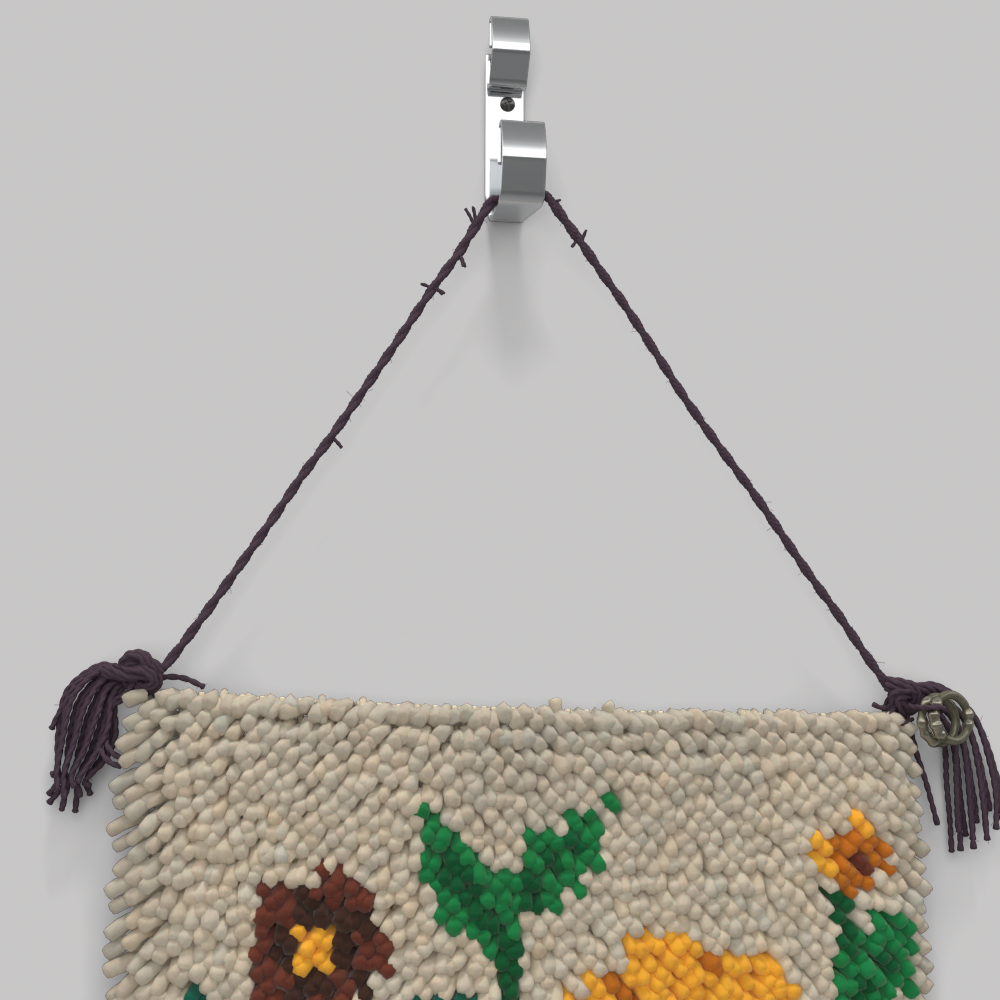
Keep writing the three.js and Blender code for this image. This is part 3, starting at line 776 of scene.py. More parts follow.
@dataclass
class HangingCord:
    """The two-strand cord from knot to knot over the lower arm, with the yarn ends left in it."""

    strand_radius: float = 1.42
    strand_offset: float = 0.64
    ply_offset: float = 0.42
    ply_radius: float = 0.64
    lay: float = 23.0
    ply: Yarn = field(default_factory=lambda: Yarn(1.12, 3, 7.0, 6, 1.5))
    hook_end: tuple[float, float] = (4.0, -24.0)
    near_hook: float = 34.0
    hook_swell: float = 0.14
    yarns_in_end: int = 2
    end_yarn: Yarn = field(default_factory=lambda: Yarn(0.8, 2, 5.4, 7, 0.7))
    hairs: int = 170
    route: tuple[Point, ...] = (
        (-136.0, -11.7, -228.1), (-128.4, -11.9, -217.6), (-117.0, -12.2, -200.6), (-106.5, -12.5, -184.4),
        (-94.6, -12.8, -165.8), (-83.8, -13.1, -148.4), (-73.2, -13.4, -132.8), (-59.8, -13.8, -111.6),
        (-46.7, -14.2, -90.7), (-32.2, -14.6, -66.9), (-21.8, -15.0, -51.4), (-15.0, -15.2, -39.4),
        (-10.0, -15.4, -30.8), (-6.6, -15.6, -26.2), (0.5, -16.8, -26.2), (7.0, -18.6, -26.2),
        (12.4, -21.2, -24.7), (16.4, -21.0, -26.5), (21.6, -20.6, -33.5), (30.6, -19.4, -45.4),
        (39.2, -18.5, -57.6), (48.8, -18.0, -71.2), (62.2, -17.3, -91.8), (75.2, -16.5, -112.1),
        (90.4, -15.8, -133.4), (105.6, -15.0, -154.0), (125.4, -14.0, -183.1), (138.8, -13.3, -201.6),
        (149.8, -12.6, -217.7), (158.8, -12.2, -230.3),
    )
    # each short end by where it leaves the cord, its tip, and how far it is splayed
    ends: tuple[tuple[Point, Point, float], ...] = (
        ((-14.5, -15.6, -39.2), (-18.8, -17.4, -31.8), 1.2),
        ((-14.0, -15.2, -38.2), (-15.8, -17.2, -30.6), 1.0),
        ((-21.6, -15.2, -50.6), (-19.2, -17.0, -57.4), 0.9),
        ((-32.6, -14.8, -67.4), (-37.4, -15.6, -66.0), 0.8),
        ((-32.2, -14.8, -67.0), (-28.0, -15.8, -69.6), 0.7),
        ((-73.2, -13.6, -132.8), (-68.8, -14.4, -137.2), 0.5),
        ((30.4, -19.2, -45.2), (32.6, -20.4, -40.2), 1.1),
        ((29.4, -19.2, -43.4), (26.4, -20.2, -47.6), 0.8),
        ((18.2, -20.8, -29.0), (21.0, -22.2, -27.2), 0.6),
    )

    def strands(self, path: np.ndarray) -> Shell:
        """The cord's two strands, each of three plies, laid round each other.

        Args:
            path: The cord's centre line.

        Returns:
            The plies as closed tubes.
        """
        frames = route_frames(path)
        length = lengths_along(path)
        to_hook = np.linalg.norm(path[:, [0, 2]] - np.array(self.hook_end), axis=1)
        wide = 1.0 + self.hook_swell * np.clip(1.6 - to_hook / self.near_hook, 0, 1)
        shells = []
        for k in range(2):
            turn = TURN * (length / self.lay + k / 2)
            centre = path + (self.strand_offset * wide)[:, None] * (
                np.cos(turn)[:, None] * frames[1] + np.sin(turn)[:, None] * frames[2])
            strand_frames = route_frames(centre)
            for m in range(self.ply.plies):
                inner = -TURN * (length / self.ply.lay + m / self.ply.plies)
                ply = centre + (self.strand_radius * wide * self.ply_offset)[:, None] * (
                    np.cos(inner)[:, None] * strand_frames[1] + np.sin(inner)[:, None] * strand_frames[2])
                radius = self.strand_radius * wide * self.ply_radius
                shells.append(tube(ply, radius, self.ply.sides, AUBERGINE))
        return Shell.joined(shells)

    def frayed_ends(self, random: np.random.Generator) -> Shell:
        """The short ends, each of a few yarns that splay towards the tip.

        Args:
            random: Where the small differences come from.

        Returns:
            The ends as closed tubes.
        """
        shells = []
        for root, tip, splay in self.ends:
            root, tip = np.array(root), np.array(tip)
            for _ in range(self.yarns_in_end):
                stray = random.normal(0, splay * 0.3, 3)
                middle = root * 0.45 + tip * 0.55 + stray * 0.35 + np.array([0, 0, 0.4])
                route = [root, middle, tip + stray]
                shells.append(self.end_yarn.laid(route, AUBERGINE, lambda s: 1 - 0.35 * s))
        return Shell.joined(shells)

    def build(self, random: np.random.Generator) -> bpy.types.Object:
        """Builds the cord and what is on it.

        Args:
            random: Where the small differences come from.

        Returns:
            The cord.
        """
        path = smooth_route(self.route, self.ply.step)
        cord = Bench.settle(self.strands(path).to_object("cord_strands"), "hanging_cord", "cord_yarn",
                            CORD_YARN, "cord")
        ends = self.frayed_ends(random).to_object("ends")
        ends = Bench.settle(ends, "cord_yarn_ends", "cord_yarn", CORD_YARN)
        fuzz = hairs_along([path], self.hairs, 1.7, (1.2, 3.0), AUBERGINE, random)
        fuzz = Bench.settle(fuzz.to_object("fuzz"), "cord_fuzz", "cord_yarn", CORD_YARN)
        return cord


def hairs_along(paths: Sequence[np.ndarray], count: int, away: float, length: tuple[float, float],
                tint: Point, random: np.random.Generator) -> Shell:
    """Thin stray fibres that stand off yarns.

    Args:
        paths: The yarns' centre lines.
        count: How many fibres.
        away: How far from the centre line they start.
        length: The shortest and the longest.
        tint: Their colour.
        random: Where the small differences come from.

    Returns:
        The fibres as thin closed tubes.
    """
    every = np.vstack(paths)
    shells = []
    for _ in range(count):
        root = every[random.integers(len(every))]
        out = random.normal(0, 1, 3)
        out /= np.linalg.norm(out)
        bend = random.normal(0, 0.5, 3)
        reach = random.uniform(*length)
        start = root + out * away * 0.7
        line = [start, start + out * reach * 0.5 + bend * 0.3, start + (out + bend * 0.7) * reach]
        line = smooth_route(line, reach / 4)
        shells.append(tube(line, FIBRE_RADIUS, 3, tint))
    return Shell.joined(shells)


# The tassels


@dataclass
class Tassel:
    """One corner's tassel: the cord's end knotted through the canvas, with its yarns left loose."""

    side: str
    knot: tuple[Point, ...]
    stitches: tuple[tuple[Point, ...], ...]
    layers: tuple[float, ...]
    outer: tuple[tuple[float, float], ...]
    inner: tuple[tuple[float, float], ...]
    ends: tuple[float, ...]
    drift: tuple[float, ...]
    loose: tuple[tuple[Point, ...], ...]
    yarn: Yarn = field(default_factory=lambda: Yarn(1.18, 2, 9.0, 7, 1.2))
    root_spread: float = 0.62
    wave: float = 0.7
    tip: float = 3.0
    knot_yarns: int = 6
    knot_radius: float = 2.2
    hairs: int = 70

    def fan_routes(self) -> list[list[Point]]:
        """The routes of the yarns, spread between the two guides.

        Returns:
            One route for each yarn.
        """
        routes = []
        count = len(self.ends)
        for k in range(count):
            share = k / (count - 1)
            route: list[Point] = []
            for i, ((x0, z0), (x1, z1)) in enumerate(zip(self.outer, self.inner)):
                along = i / (len(self.outer) - 1)
                half = min(1.0, 2 * along)
                spread = self.root_spread + (1 - self.root_spread) * half
                fanned = 0.5 + (share - 0.5) * spread
                wave = self.wave * math.sin(2.1 * k + 1.9 * i) * along
                depth = self.layers[1] + (self.layers[k % len(self.layers)] - self.layers[1]) * half
                route.append((x0 + (x1 - x0) * fanned + wave, depth, z0 + (z1 - z0) * fanned + 0.4 * wave))
            x, y, z = route[-1]
            route.append((x + self.drift[k], y, z - self.ends[k] - self.tip))
            routes.append(route)
        return routes

    def knotted(self, random: np.random.Generator) -> Shell:
        """The knot: a bundle of the cord's yarns that follows the knot's own route.

        Args:
            random: Where the small differences come from.

        Returns:
            The bundle's yarns.
        """
        path = smooth_route(self.knot, 1.6)
        _, normal, other = route_frames(path)
        length = lengths_along(path)
        shells = []
        for k in range(self.knot_yarns):
            turn = TURN * (k / self.knot_yarns + length / 46.0) + random.normal(0, 0.15)
            out = self.knot_radius * (1 + random.normal(0, 0.06))
            line = path + out * (np.cos(turn)[:, None] * normal + np.sin(turn)[:, None] * other)
            shells.append(self.yarn.laid(line[::2], AUBERGINE, phase=random.uniform(0, TURN)))
        core = tube(path, self.knot_radius * 0.9, 8, AUBERGINE)
        return Shell.joined([*shells, core])

    def build(self, random: np.random.Generator) -> None:
        """Builds the tassel's pieces.

        Args:
            random: Where the small differences come from.
        """
        name = f"tassel_{self.side}"
        routes = self.fan_routes() + [list(r) for r in self.loose]
        yarns = []
        for route in routes:
            frayed = lambda s: 1.0 - 0.12 * s + 0.22 * np.clip((s - 0.93) / 0.07, 0, 1)
            yarns.append(self.yarn.laid(route, AUBERGINE, frayed, random.uniform(0, TURN)))
        Bench.settle(Shell.joined(yarns).to_object("yarns"), f"{name}_yarns", "cord_yarn", CORD_YARN, name)
        stitches = [self.yarn.laid(s, AUBERGINE, lambda t: np.full_like(t, 0.85)) for s in self.stitches]
        knot = Shell.joined([self.knotted(random), *stitches])
        Bench.settle(knot.to_object("knot"), f"{name}_knot", "cord_yarn", CORD_YARN, name)
        lines = [smooth_route(r, 2.0) for r in routes]
        fuzz = hairs_along(lines, self.hairs, 0.9, (1.0, 2.6), AUBERGINE, random)
        Bench.settle(fuzz.to_object("fuzz"), f"{name}_fuzz", "cord_yarn", CORD_YARN)


def left_tassel() -> Tassel:
    """The left corner's tassel."""
    return Tassel(
        side="left",
        knot=(
            (-137.0, -12.2, -229.6), (-141.2, -14.8, -226.6), (-145.6, -14.9, -223.6),
            (-149.8, -12.6, -226.6), (-148.2, -10.0, -232.6), (-142.4, -11.6, -235.0),
            (-138.8, -14.0, -232.4), (-142.4, -15.6, -229.6), (-147.6, -14.6, -230.4),
            (-153.4, -11.6, -229.4), (-158.0, -9.4, -229.0),
        ),
        stitches=(
            ((-139.0, -12.6, -231.0), (-138.6, -12.0, -236.4), (-138.8, -8.4, -239.4), (-138.8, -4.8, -236.6),
             (-138.4, -6.6, -232.4), (-139.6, -11.0, -230.6)),
            ((-146.0, -13.4, -233.0), (-149.2, -13.0, -237.4), (-152.8, -11.4, -239.6),
             (-155.0, -9.8, -241.4)),
            ((-143.4, -13.6, -233.4), (-147.0, -12.8, -238.2), (-152.0, -10.8, -240.8),
             (-156.6, -9.2, -244.6)),
        ),
        layers=(-4.6, -8.2, -11.8),
        outer=((-153.0, -225.4), (-162.2, -224.9), (-172.4, -236.4), (-174.6, -253.4), (-174.8, -266.2)),
        inner=((-150.6, -236.8), (-152.8, -243.4), (-152.8, -253.4), (-156.6, -262.6), (-163.0, -270.6)),
        ends=(2.0, -1.0, 4.5, 6.0, -2.0, 6.5, 8.2, 10.2, 1.0, 10.4, 4.0, -1.5, 2.9, -1.0),
        drift=(0.2, -1.8, 1.0, -5.5, 1.4, 0.6, -8.0, -2.7, 1.6, -0.8, 1.2, 0.4, 1.8, 2.0),
        loose=(
            ((-137.5, -10.6, -231.4), (-132.6, -8.2, -230.6), (-126.8, -7.8, -231.4), (-120.2, -8.0, -234.4)),
            ((-153.4, -9.0, -228.0), (-166.0, -7.6, -232.8), (-173.6, -6.2, -242.8), (-177.4, -5.4, -251.0)),
            ((-156.8, -8.6, -254.0), (-154.6, -13.4, -258.6), (-151.2, -16.4, -261.6),
             (-147.4, -17.2, -262.6)),
            ((-158.8, -9.6, -257.0), (-156.4, -13.8, -261.2), (-153.0, -16.0, -264.4),
             (-149.4, -16.6, -265.4)),
        ),
    )


def right_tassel() -> Tassel:
    """The right corner's tassel, with the loop that holds the rings."""
    return Tassel(
        side="right",
        knot=(
            (158.4, -12.4, -230.0), (162.6, -14.6, -231.0), (167.6, -14.8, -232.0), (170.6, -12.4, -236.4),
            (168.0, -10.8, -240.0), (163.0, -13.0, -238.4), (160.8, -14.4, -235.0), (164.6, -15.4, -233.4),
            (170.2, -13.4, -232.6), (176.0, -10.6, -232.6), (180.0, -8.6, -233.4),
        ),
        stitches=(
            ((163.4, -12.2, -237.4), (159.6, -11.9, -239.4), (155.6, -11.5, -239.6), (152.6, -11.2, -238.2)),
            ((160.4, -12.8, -234.0), (159.4, -12.2, -240.0), (159.6, -8.4, -245.0), (159.8, -4.8, -241.6),
             (160.2, -6.6, -237.4), (161.6, -11.0, -233.6)),
            ((162.0, -13.0, -238.0), (158.4, -14.6, -243.6), (163.0, -15.6, -246.4), (168.4, -13.4, -244.4)),
        ),
        layers=(-3.6, -6.6, -9.4),
        outer=((171.0, -229.4), (184.0, -228.2), (198.4, -239.4), (206.0, -258.0), (208.8, -273.0)),
        inner=((170.6, -237.4), (179.4, -241.8), (186.2, -252.8), (186.2, -269.6), (185.6, -284.6)),
        ends=(9.0, 5.0, 10.5, 2.5, 8.0, 12.0, 4.5, 10.0, 12.5, 7.0, 11.5, 3.0, 10.5),
        drift=(0.0, 0.6, -0.8, 0.4, -0.4, 0.8, 0.0, -0.6, 0.4, 0.8, -0.4, 0.2, 0.0),
        loose=(
            ((167.0, -11.0, -242.6), (169.4, -8.6, -248.4), (172.6, -6.4, -259.0), (176.0, -5.8, -270.0),
             (179.8, -5.8, -286.8)),
            ((164.6, -13.4, -238.4), (167.0, -20.4, -240.0), (169.6, -25.8, -240.6), (173.4, -27.9, -240.6),
             (176.9, -26.2, -241.0), (176.8, -21.0, -241.4), (173.8, -15.4, -239.6), (170.2, -11.8, -236.6)),
        ),
    )


# The canvas


@dataclass
class Canvas:
    """The open rug canvas: pairs of upright threads, with cross threads woven through them."""

    pair_offset: float = 1.9
    upright: tuple[float, float] = (1.25, 0.42)
    cross: tuple[float, float] = (0.95, 0.5)
    step: float = 4.3
    sides: int = 6

    def point(self, x: np.ndarray, s: np.ndarray, lift: np.ndarray) -> np.ndarray:
        """A point of the canvas.

        Args:
            x: Places across it.
            s: Lengths along the cut canvas.
            lift: Distances off its middle, towards its right side.

        Returns:
            The points in the row frame.
        """
        depth, below, out, down = CANVAS.along(s)
        y = -(CANVAS.front(below) - depth) + lift * out
        z = CANVAS.fold_height(x) - below - lift * down
        return np.stack([x + 0 * y, y, z], -1)

    def frames(self, path: np.ndarray, s: np.ndarray,
               across: bool) -> tuple[np.ndarray, np.ndarray, np.ndarray]:
        """The directions of a thread: along it, across it in the canvas, and off the canvas.

        Args:
            path: The thread's middle.
            s: The length along the cut canvas at each of its points.
            across: Not used.

        Returns:
            The three directions at each point.
        """
        _, _, out, down = CANVAS.along(s)
        off = np.stack([0 * out, out, -down], -1)
        tangent = np.gradient(path, axis=0)
        tangent /= np.linalg.norm(tangent, axis=1)[:, None]
        off -= tangent * (off * tangent).sum(1)[:, None]
        off /= np.linalg.norm(off, axis=1)[:, None]
        return tangent, np.cross(off, tangent), off

    def weave(self) -> Shell:
        """All the canvas's threads.

        Returns:
            The threads as closed tubes.
        """
        fine = 0.5
        total = CANVAS.cut_length
        hem = CANVAS.hem
        bends = [(hem - 3, hem + 5), (total - hem - 5, total - hem + 3)]
        coarse = np.arange(0, total, self.step)
        s = np.unique(np.concatenate([coarse, [total], *[np.arange(a, b, fine) for a, b in bends]]))
        shells = []
        for i in range(CANVAS.columns + 1):
            for side in (-1, 1):
                x = CANVAS.left + i * CANVAS.mesh + side * self.pair_offset
                x = min(max(x, CANVAS.left + 0.4), CANVAS.right - 0.4)
                swing = 0.35 * np.sin(TURN * s / (2 * CANVAS.mesh) + i) * side
                lift = 0.12 * np.sin(TURN * s / CANVAS.mesh) * side
                path = self.point(x + swing, s, lift)
                frames = self.frames(path, s, False)
                half, thick = self.upright
                shells.append(tube(path, half, self.sides, CANVAS_CREAM, thick / half, frames))
        x = np.arange(CANVAS.left, CANVAS.right + 0.01, self.step)
        for k in range(int(total / CANVAS.mesh) + 1):
            at = np.full_like(x, min(k * CANVAS.mesh + 1.2, total - 1.0))
            lift = 0.16 * np.sin(TURN * (x - CANVAS.left) / CANVAS.mesh + math.pi * k)
            path = self.point(x, at, lift)
            half, thick = self.cross
            frames = self.frames(path, at, True)
            shells.append(tube(path, half, self.sides, CANVAS_CREAM, thick / half, frames))
        return Shell.joined(shells)

    def build(self) -> bpy.types.Object:
        """Builds the canvas."""
        canvas = self.weave().to_object("weave")
        canvas = Bench.settle(canvas, "rug_canvas", "canvas_cotton", COTTON, "canvas")
        flat = (CANVAS.columns * CANVAS.mesh * MM, round(CANVAS.cut_length * MM, 3))
        return canvas


# The pile


class Wool(Enum):
    """The pile's dyes."""

    CREAM = (0.475, 0.412, 0.316)
    GREEN = (0.008, 0.165, 0.045)
    DEEP_GREEN = (0.003, 0.075, 0.022)
    TEAL = (0.006, 0.085, 0.058)
    GOLD = (0.70, 0.33, 0.028)
    AMBER = (0.40, 0.12, 0.01)
    BROWN = (0.042, 0.018, 0.012)
    RUSSET = (0.115, 0.03, 0.018)


class Motif(Protocol):
    """Something drawn on the chart."""

    def wool_at(self, column: float, row: float) -> Optional[Wool]:
        """The motif's wool at a knot, or None beside it."""


@dataclass(frozen=True)
class Leaf:
    """A pointed leaf from its stalk to its tip, with a rib."""

    stalk: tuple[float, float]
    tip: tuple[float, float]
    width: float
    wool: Wool = Wool.GREEN
    rib: Wool = Wool.DEEP_GREEN

    def wool_at(self, column: float, row: float) -> Optional[Wool]:
        """The leaf's wool at a knot, or None beside it."""
        (x0, z0), (x1, z1) = self.stalk, self.tip
        length = math.hypot(x1 - x0, z1 - z0)
        ux, uz = (x1 - x0) / length, (z1 - z0) / length
        along = (column - x0) * ux + (row - z0) * uz
        across = (column - x0) * -uz + (row - z0) * ux
        if not 0 <= along <= length:
            return None
        half = self.width * math.sin(math.pi * (along / length) ** 0.8) ** 0.8
        if abs(across) > half:
            return None
        return self.rib if abs(across) < 0.5 and along < 0.7 * length else self.wool


@dataclass(frozen=True)
class Blossom:
    """A round flower of scalloped petals about a centre."""

    at: tuple[float, float]
    radius: float
    petals: int
    centre: float
    wool: Wool = Wool.GOLD
    shade: Wool = Wool.AMBER
    heart: Wool = Wool.BROWN

    def wool_at(self, column: float, row: float) -> Optional[Wool]:
        """The flower's wool at a knot, or None beside it."""
        dx, dz = column - self.at[0], row - self.at[1]
        away = math.hypot(dx, dz)
        wave = abs(math.cos(self.petals * math.atan2(dz, dx) / 2))
        if away > self.radius * (0.74 + 0.26 * wave**0.7):
            return None
        if away < self.centre:
            return self.heart
        between = wave < 0.25 and away > self.centre * 1.4
        return self.shade if between or away < self.centre + 1.0 else self.wool


@dataclass(frozen=True)
class Stem:
    """A line of knots from place to place."""

    places: tuple[tuple[float, float], ...]
    half: float = 0.55
    wool: Wool = Wool.DEEP_GREEN

    def wool_at(self, column: float, row: float) -> Optional[Wool]:
        """The stem's wool at a knot, or None beside it."""
        for (x0, z0), (x1, z1) in zip(self.places, self.places[1:]):
            run = (x1 - x0) ** 2 + (z1 - z0) ** 2
            t = min(1.0, max(0.0, ((column - x0) * (x1 - x0) + (row - z0) * (z1 - z0)) / run))
            if math.hypot(column - x0 - t * (x1 - x0), row - z0 - t * (z1 - z0)) < self.half:
                return self.wool
        return None


@dataclass
class Chart:
    """The colour of each knot: a plain posy of round flowers and leaves, in columns and rows of knots."""

    motifs: tuple[Motif, ...] = (
        Blossom((26.6, 17.4), 7.4, 7, 2.2),
        Blossom((8.6, 11.4), 3.9, 5, 1.1, Wool.RUSSET, Wool.BROWN, Wool.GOLD),
        Blossom((12.5, 31.0), 6.6, 7, 1.9),
        Blossom((30.0, 34.5), 4.6, 5, 1.2, Wool.RUSSET, Wool.BROWN, Wool.GOLD),
        Blossom((35.6, 6.6), 1.9, 5, 0.6, Wool.GOLD, Wool.AMBER, Wool.RUSSET),
        Leaf((17.8, 11.2), (13.4, 4.8), 1.7),
        Leaf((18.0, 9.4), (23.0, 4.0), 1.7),
        Leaf((17.2, 15.2), (11.8, 15.6), 1.6, Wool.TEAL, Wool.DEEP_GREEN),
        Leaf((34.8, 15.6), (37.9, 9.4), 1.8),
        Leaf((5.2, 20.0), (2.4, 13.6), 1.7, Wool.TEAL, Wool.DEEP_GREEN),
        Leaf((9.0, 24.0), (2.2, 24.6), 1.7, Wool.TEAL, Wool.DEEP_GREEN),
        Leaf((19.4, 36.0), (23.6, 27.6), 2.0),
        Leaf((20.0, 42.0), (9.6, 39.4), 2.1),
        Leaf((21.0, 43.0), (31.6, 42.0), 2.1, Wool.TEAL, Wool.DEEP_GREEN),
        Leaf((34.4, 30.0), (36.6, 22.8), 1.6),
        Leaf((18.4, 24.4), (21.0, 28.6), 1.3, Wool.TEAL, Wool.DEEP_GREEN),
        Stem(((18.0, 9.0), (18.2, 14.0), (18.8, 20.0), (20.0, 34.0), (20.4, 47.5))),
        Stem(((8.8, 14.0), (9.4, 20.0), (14.0, 36.0), (20.0, 46.0))),
        Stem(((26.0, 23.0), (24.0, 34.0), (20.8, 46.0))),
        Stem(((35.2, 8.0), (34.8, 24.0), (32.0, 38.0), (21.2, 47.0))),
    )

    def wool_at(self, column: int, row: int) -> Wool:
        """The wool of one knot.

        Args:
            column: The knot's place from the left.
            row: Its place from the top.

        Returns:
            Its wool, which is cream where nothing is drawn.
        """
        for motif in self.motifs:
            wool = motif.wool_at(column, row)
            if wool is not None:
                return wool
        return Wool.CREAM


@dataclass
class Tuft:
    """One cut end of yarn, modelled once: places across, through and along it, and its faces."""

    points: np.ndarray
    quads: np.ndarray
    tris: np.ndarray
    quad_uv: np.ndarray
    tri_uv: np.ndarray

    @staticmethod
    def modelled(sides: int, rings: Sequence[tuple[float, float]], dome: float) -> "Tuft":
        """Extrudes a small disc ring by ring and rounds its end.

        Args:
            sides: How many sides it has.
            rings: Each ring's place, as a share of the length, and its radius.
            dome: How far the middle of the end stands out, as a share of the length.

        Returns:
            The tuft, one long and about one in radius.
        """
        Bench.clear()
        bpy.ops.mesh.primitive_circle_add(vertices=sides, radius=rings[0][1], fill_type="TRIFAN")
        tuft = bpy.context.object
        bpy.ops.object.mode_set(mode="EDIT")
        bpy.ops.mesh.select_all(action="SELECT")
        for (low, narrow), (high, wide) in zip(rings, rings[1:]):
            bpy.ops.mesh.extrude_region()
            bpy.ops.transform.translate(value=(0, 0, high - low))
            bpy.ops.transform.resize(value=(wide / narrow, wide / narrow, 1), center_override=(0, 0, high))
        Bench.face_outwards(tuft)
        points = np.array([v.co[:] for v in tuft.data.vertices])
        middle = np.hypot(points[:, 0], points[:, 1]) < 0.01
        points[middle & (points[:, 2] > 0.5), 2] += dome
        faces = [list(p.vertices) for p in tuft.data.polygons]
        bpy.data.objects.remove(tuft)
        quads = np.array([f for f in faces if len(f) == 4])
        tris = np.array([f for f in faces if len(f) == 3])
        around = (np.arctan2(points[:, 1], points[:, 0]) / TURN) % 1.0
        return Tuft(points, quads, tris, Tuft.unrolled(quads, points, around, middle),
                    Tuft.unrolled(tris, points, around, middle))

    @staticmethod
    def unrolled(faces: np.ndarray, points: np.ndarray, around: np.ndarray, middle: np.ndarray) -> np.ndarray:
        """Each corner's place round the tuft and along it.

        Args:
            faces: The faces' points.
            points: The points.
            around: Each point's place round the tuft, from 0 to 1.
            middle: Which points are at the middle of an end.

        Returns:
            A pair for each corner of each face.
        """
        u = around[faces]
        low = np.where(middle[faces], 1.0, u).min(1)[:, None]
        u = np.where(u - low > 0.5, u - 1.0, u)
        u = np.where(middle[faces], low, u)
        return np.stack([u, points[faces][..., 2]], -1)

    def laid(self, roots: np.ndarray, bends: np.ndarray, tips: np.ndarray, radius: np.ndarray,
             tint: np.ndarray, depth_share: float = 1.0, uneven: float = 0.0) -> Shell:
        """Lays a copy along each of many bent lines.

        Args:
            roots: Where each copy starts.
            bends: The place that it bends towards.
            tips: Where it ends.
            radius: How thick each is.
            tint: The colour of each.
            depth_share: Its second half width as a share of the first.
            uneven: How much its points wander, as a share of its radius.

        Returns:
            All the copies.
        """
        points = self.points
        n, v = len(roots), len(points)
        t = points[:, 2][None, :, None]
        a, b, c = roots[:, None], bends[:, None], tips[:, None]
        centre = a * (1 - t) ** 2 + 2 * b * t * (1 - t) + c * t**2
        tangent = 2 * (b - a) * (1 - t) + 2 * (c - b) * t
        tangent /= np.linalg.norm(tangent, axis=2)[..., None]
        level = np.cross(tangent, np.array([0.0, 0.35, -1.0]))
        side = np.cross(np.array([0.0, -1.0, 0.0]), tangent)
        across = np.where(np.linalg.norm(side, axis=2)[..., None] > 0.25, side, level)
        across /= np.linalg.norm(across, axis=2)[..., None]
        across *= np.where(across[..., :1] < -0.3, -1.0, 1.0)
        through = np.cross(tangent, across)
        wander = 1 + uneven * np.sin(7.9 * np.arange(n)[:, None] + 2.7 * np.arange(v)[None, :])[..., None]
        thick = radius[:, None, None] * wander
        laid = (centre + thick * points[:, 0][None, :, None] * across
                + thick * depth_share * points[:, 1][None, :, None] * through)
        start = (v * np.arange(n))[:, None, None]
        length = np.linalg.norm(tips - roots, axis=1)[:, None, None] * 1.15
        colour = np.ones((n, v, 4))
        colour[:, :, :3] = tint[:, None, :]
        uvs = []
        for uv in (self.quad_uv, self.tri_uv):
            copies = np.repeat(uv[None], n, 0)
            copies[..., 1] *= length
            uvs.append(copies.reshape(-1, *uv.shape[1:]))
        return Shell(laid.reshape(-1, 3), (self.quads[None] + start).reshape(-1, 4),
                     (self.tris[None] + start).reshape(-1, 3), uvs[0], uvs[1], colour.reshape(-1, 4))


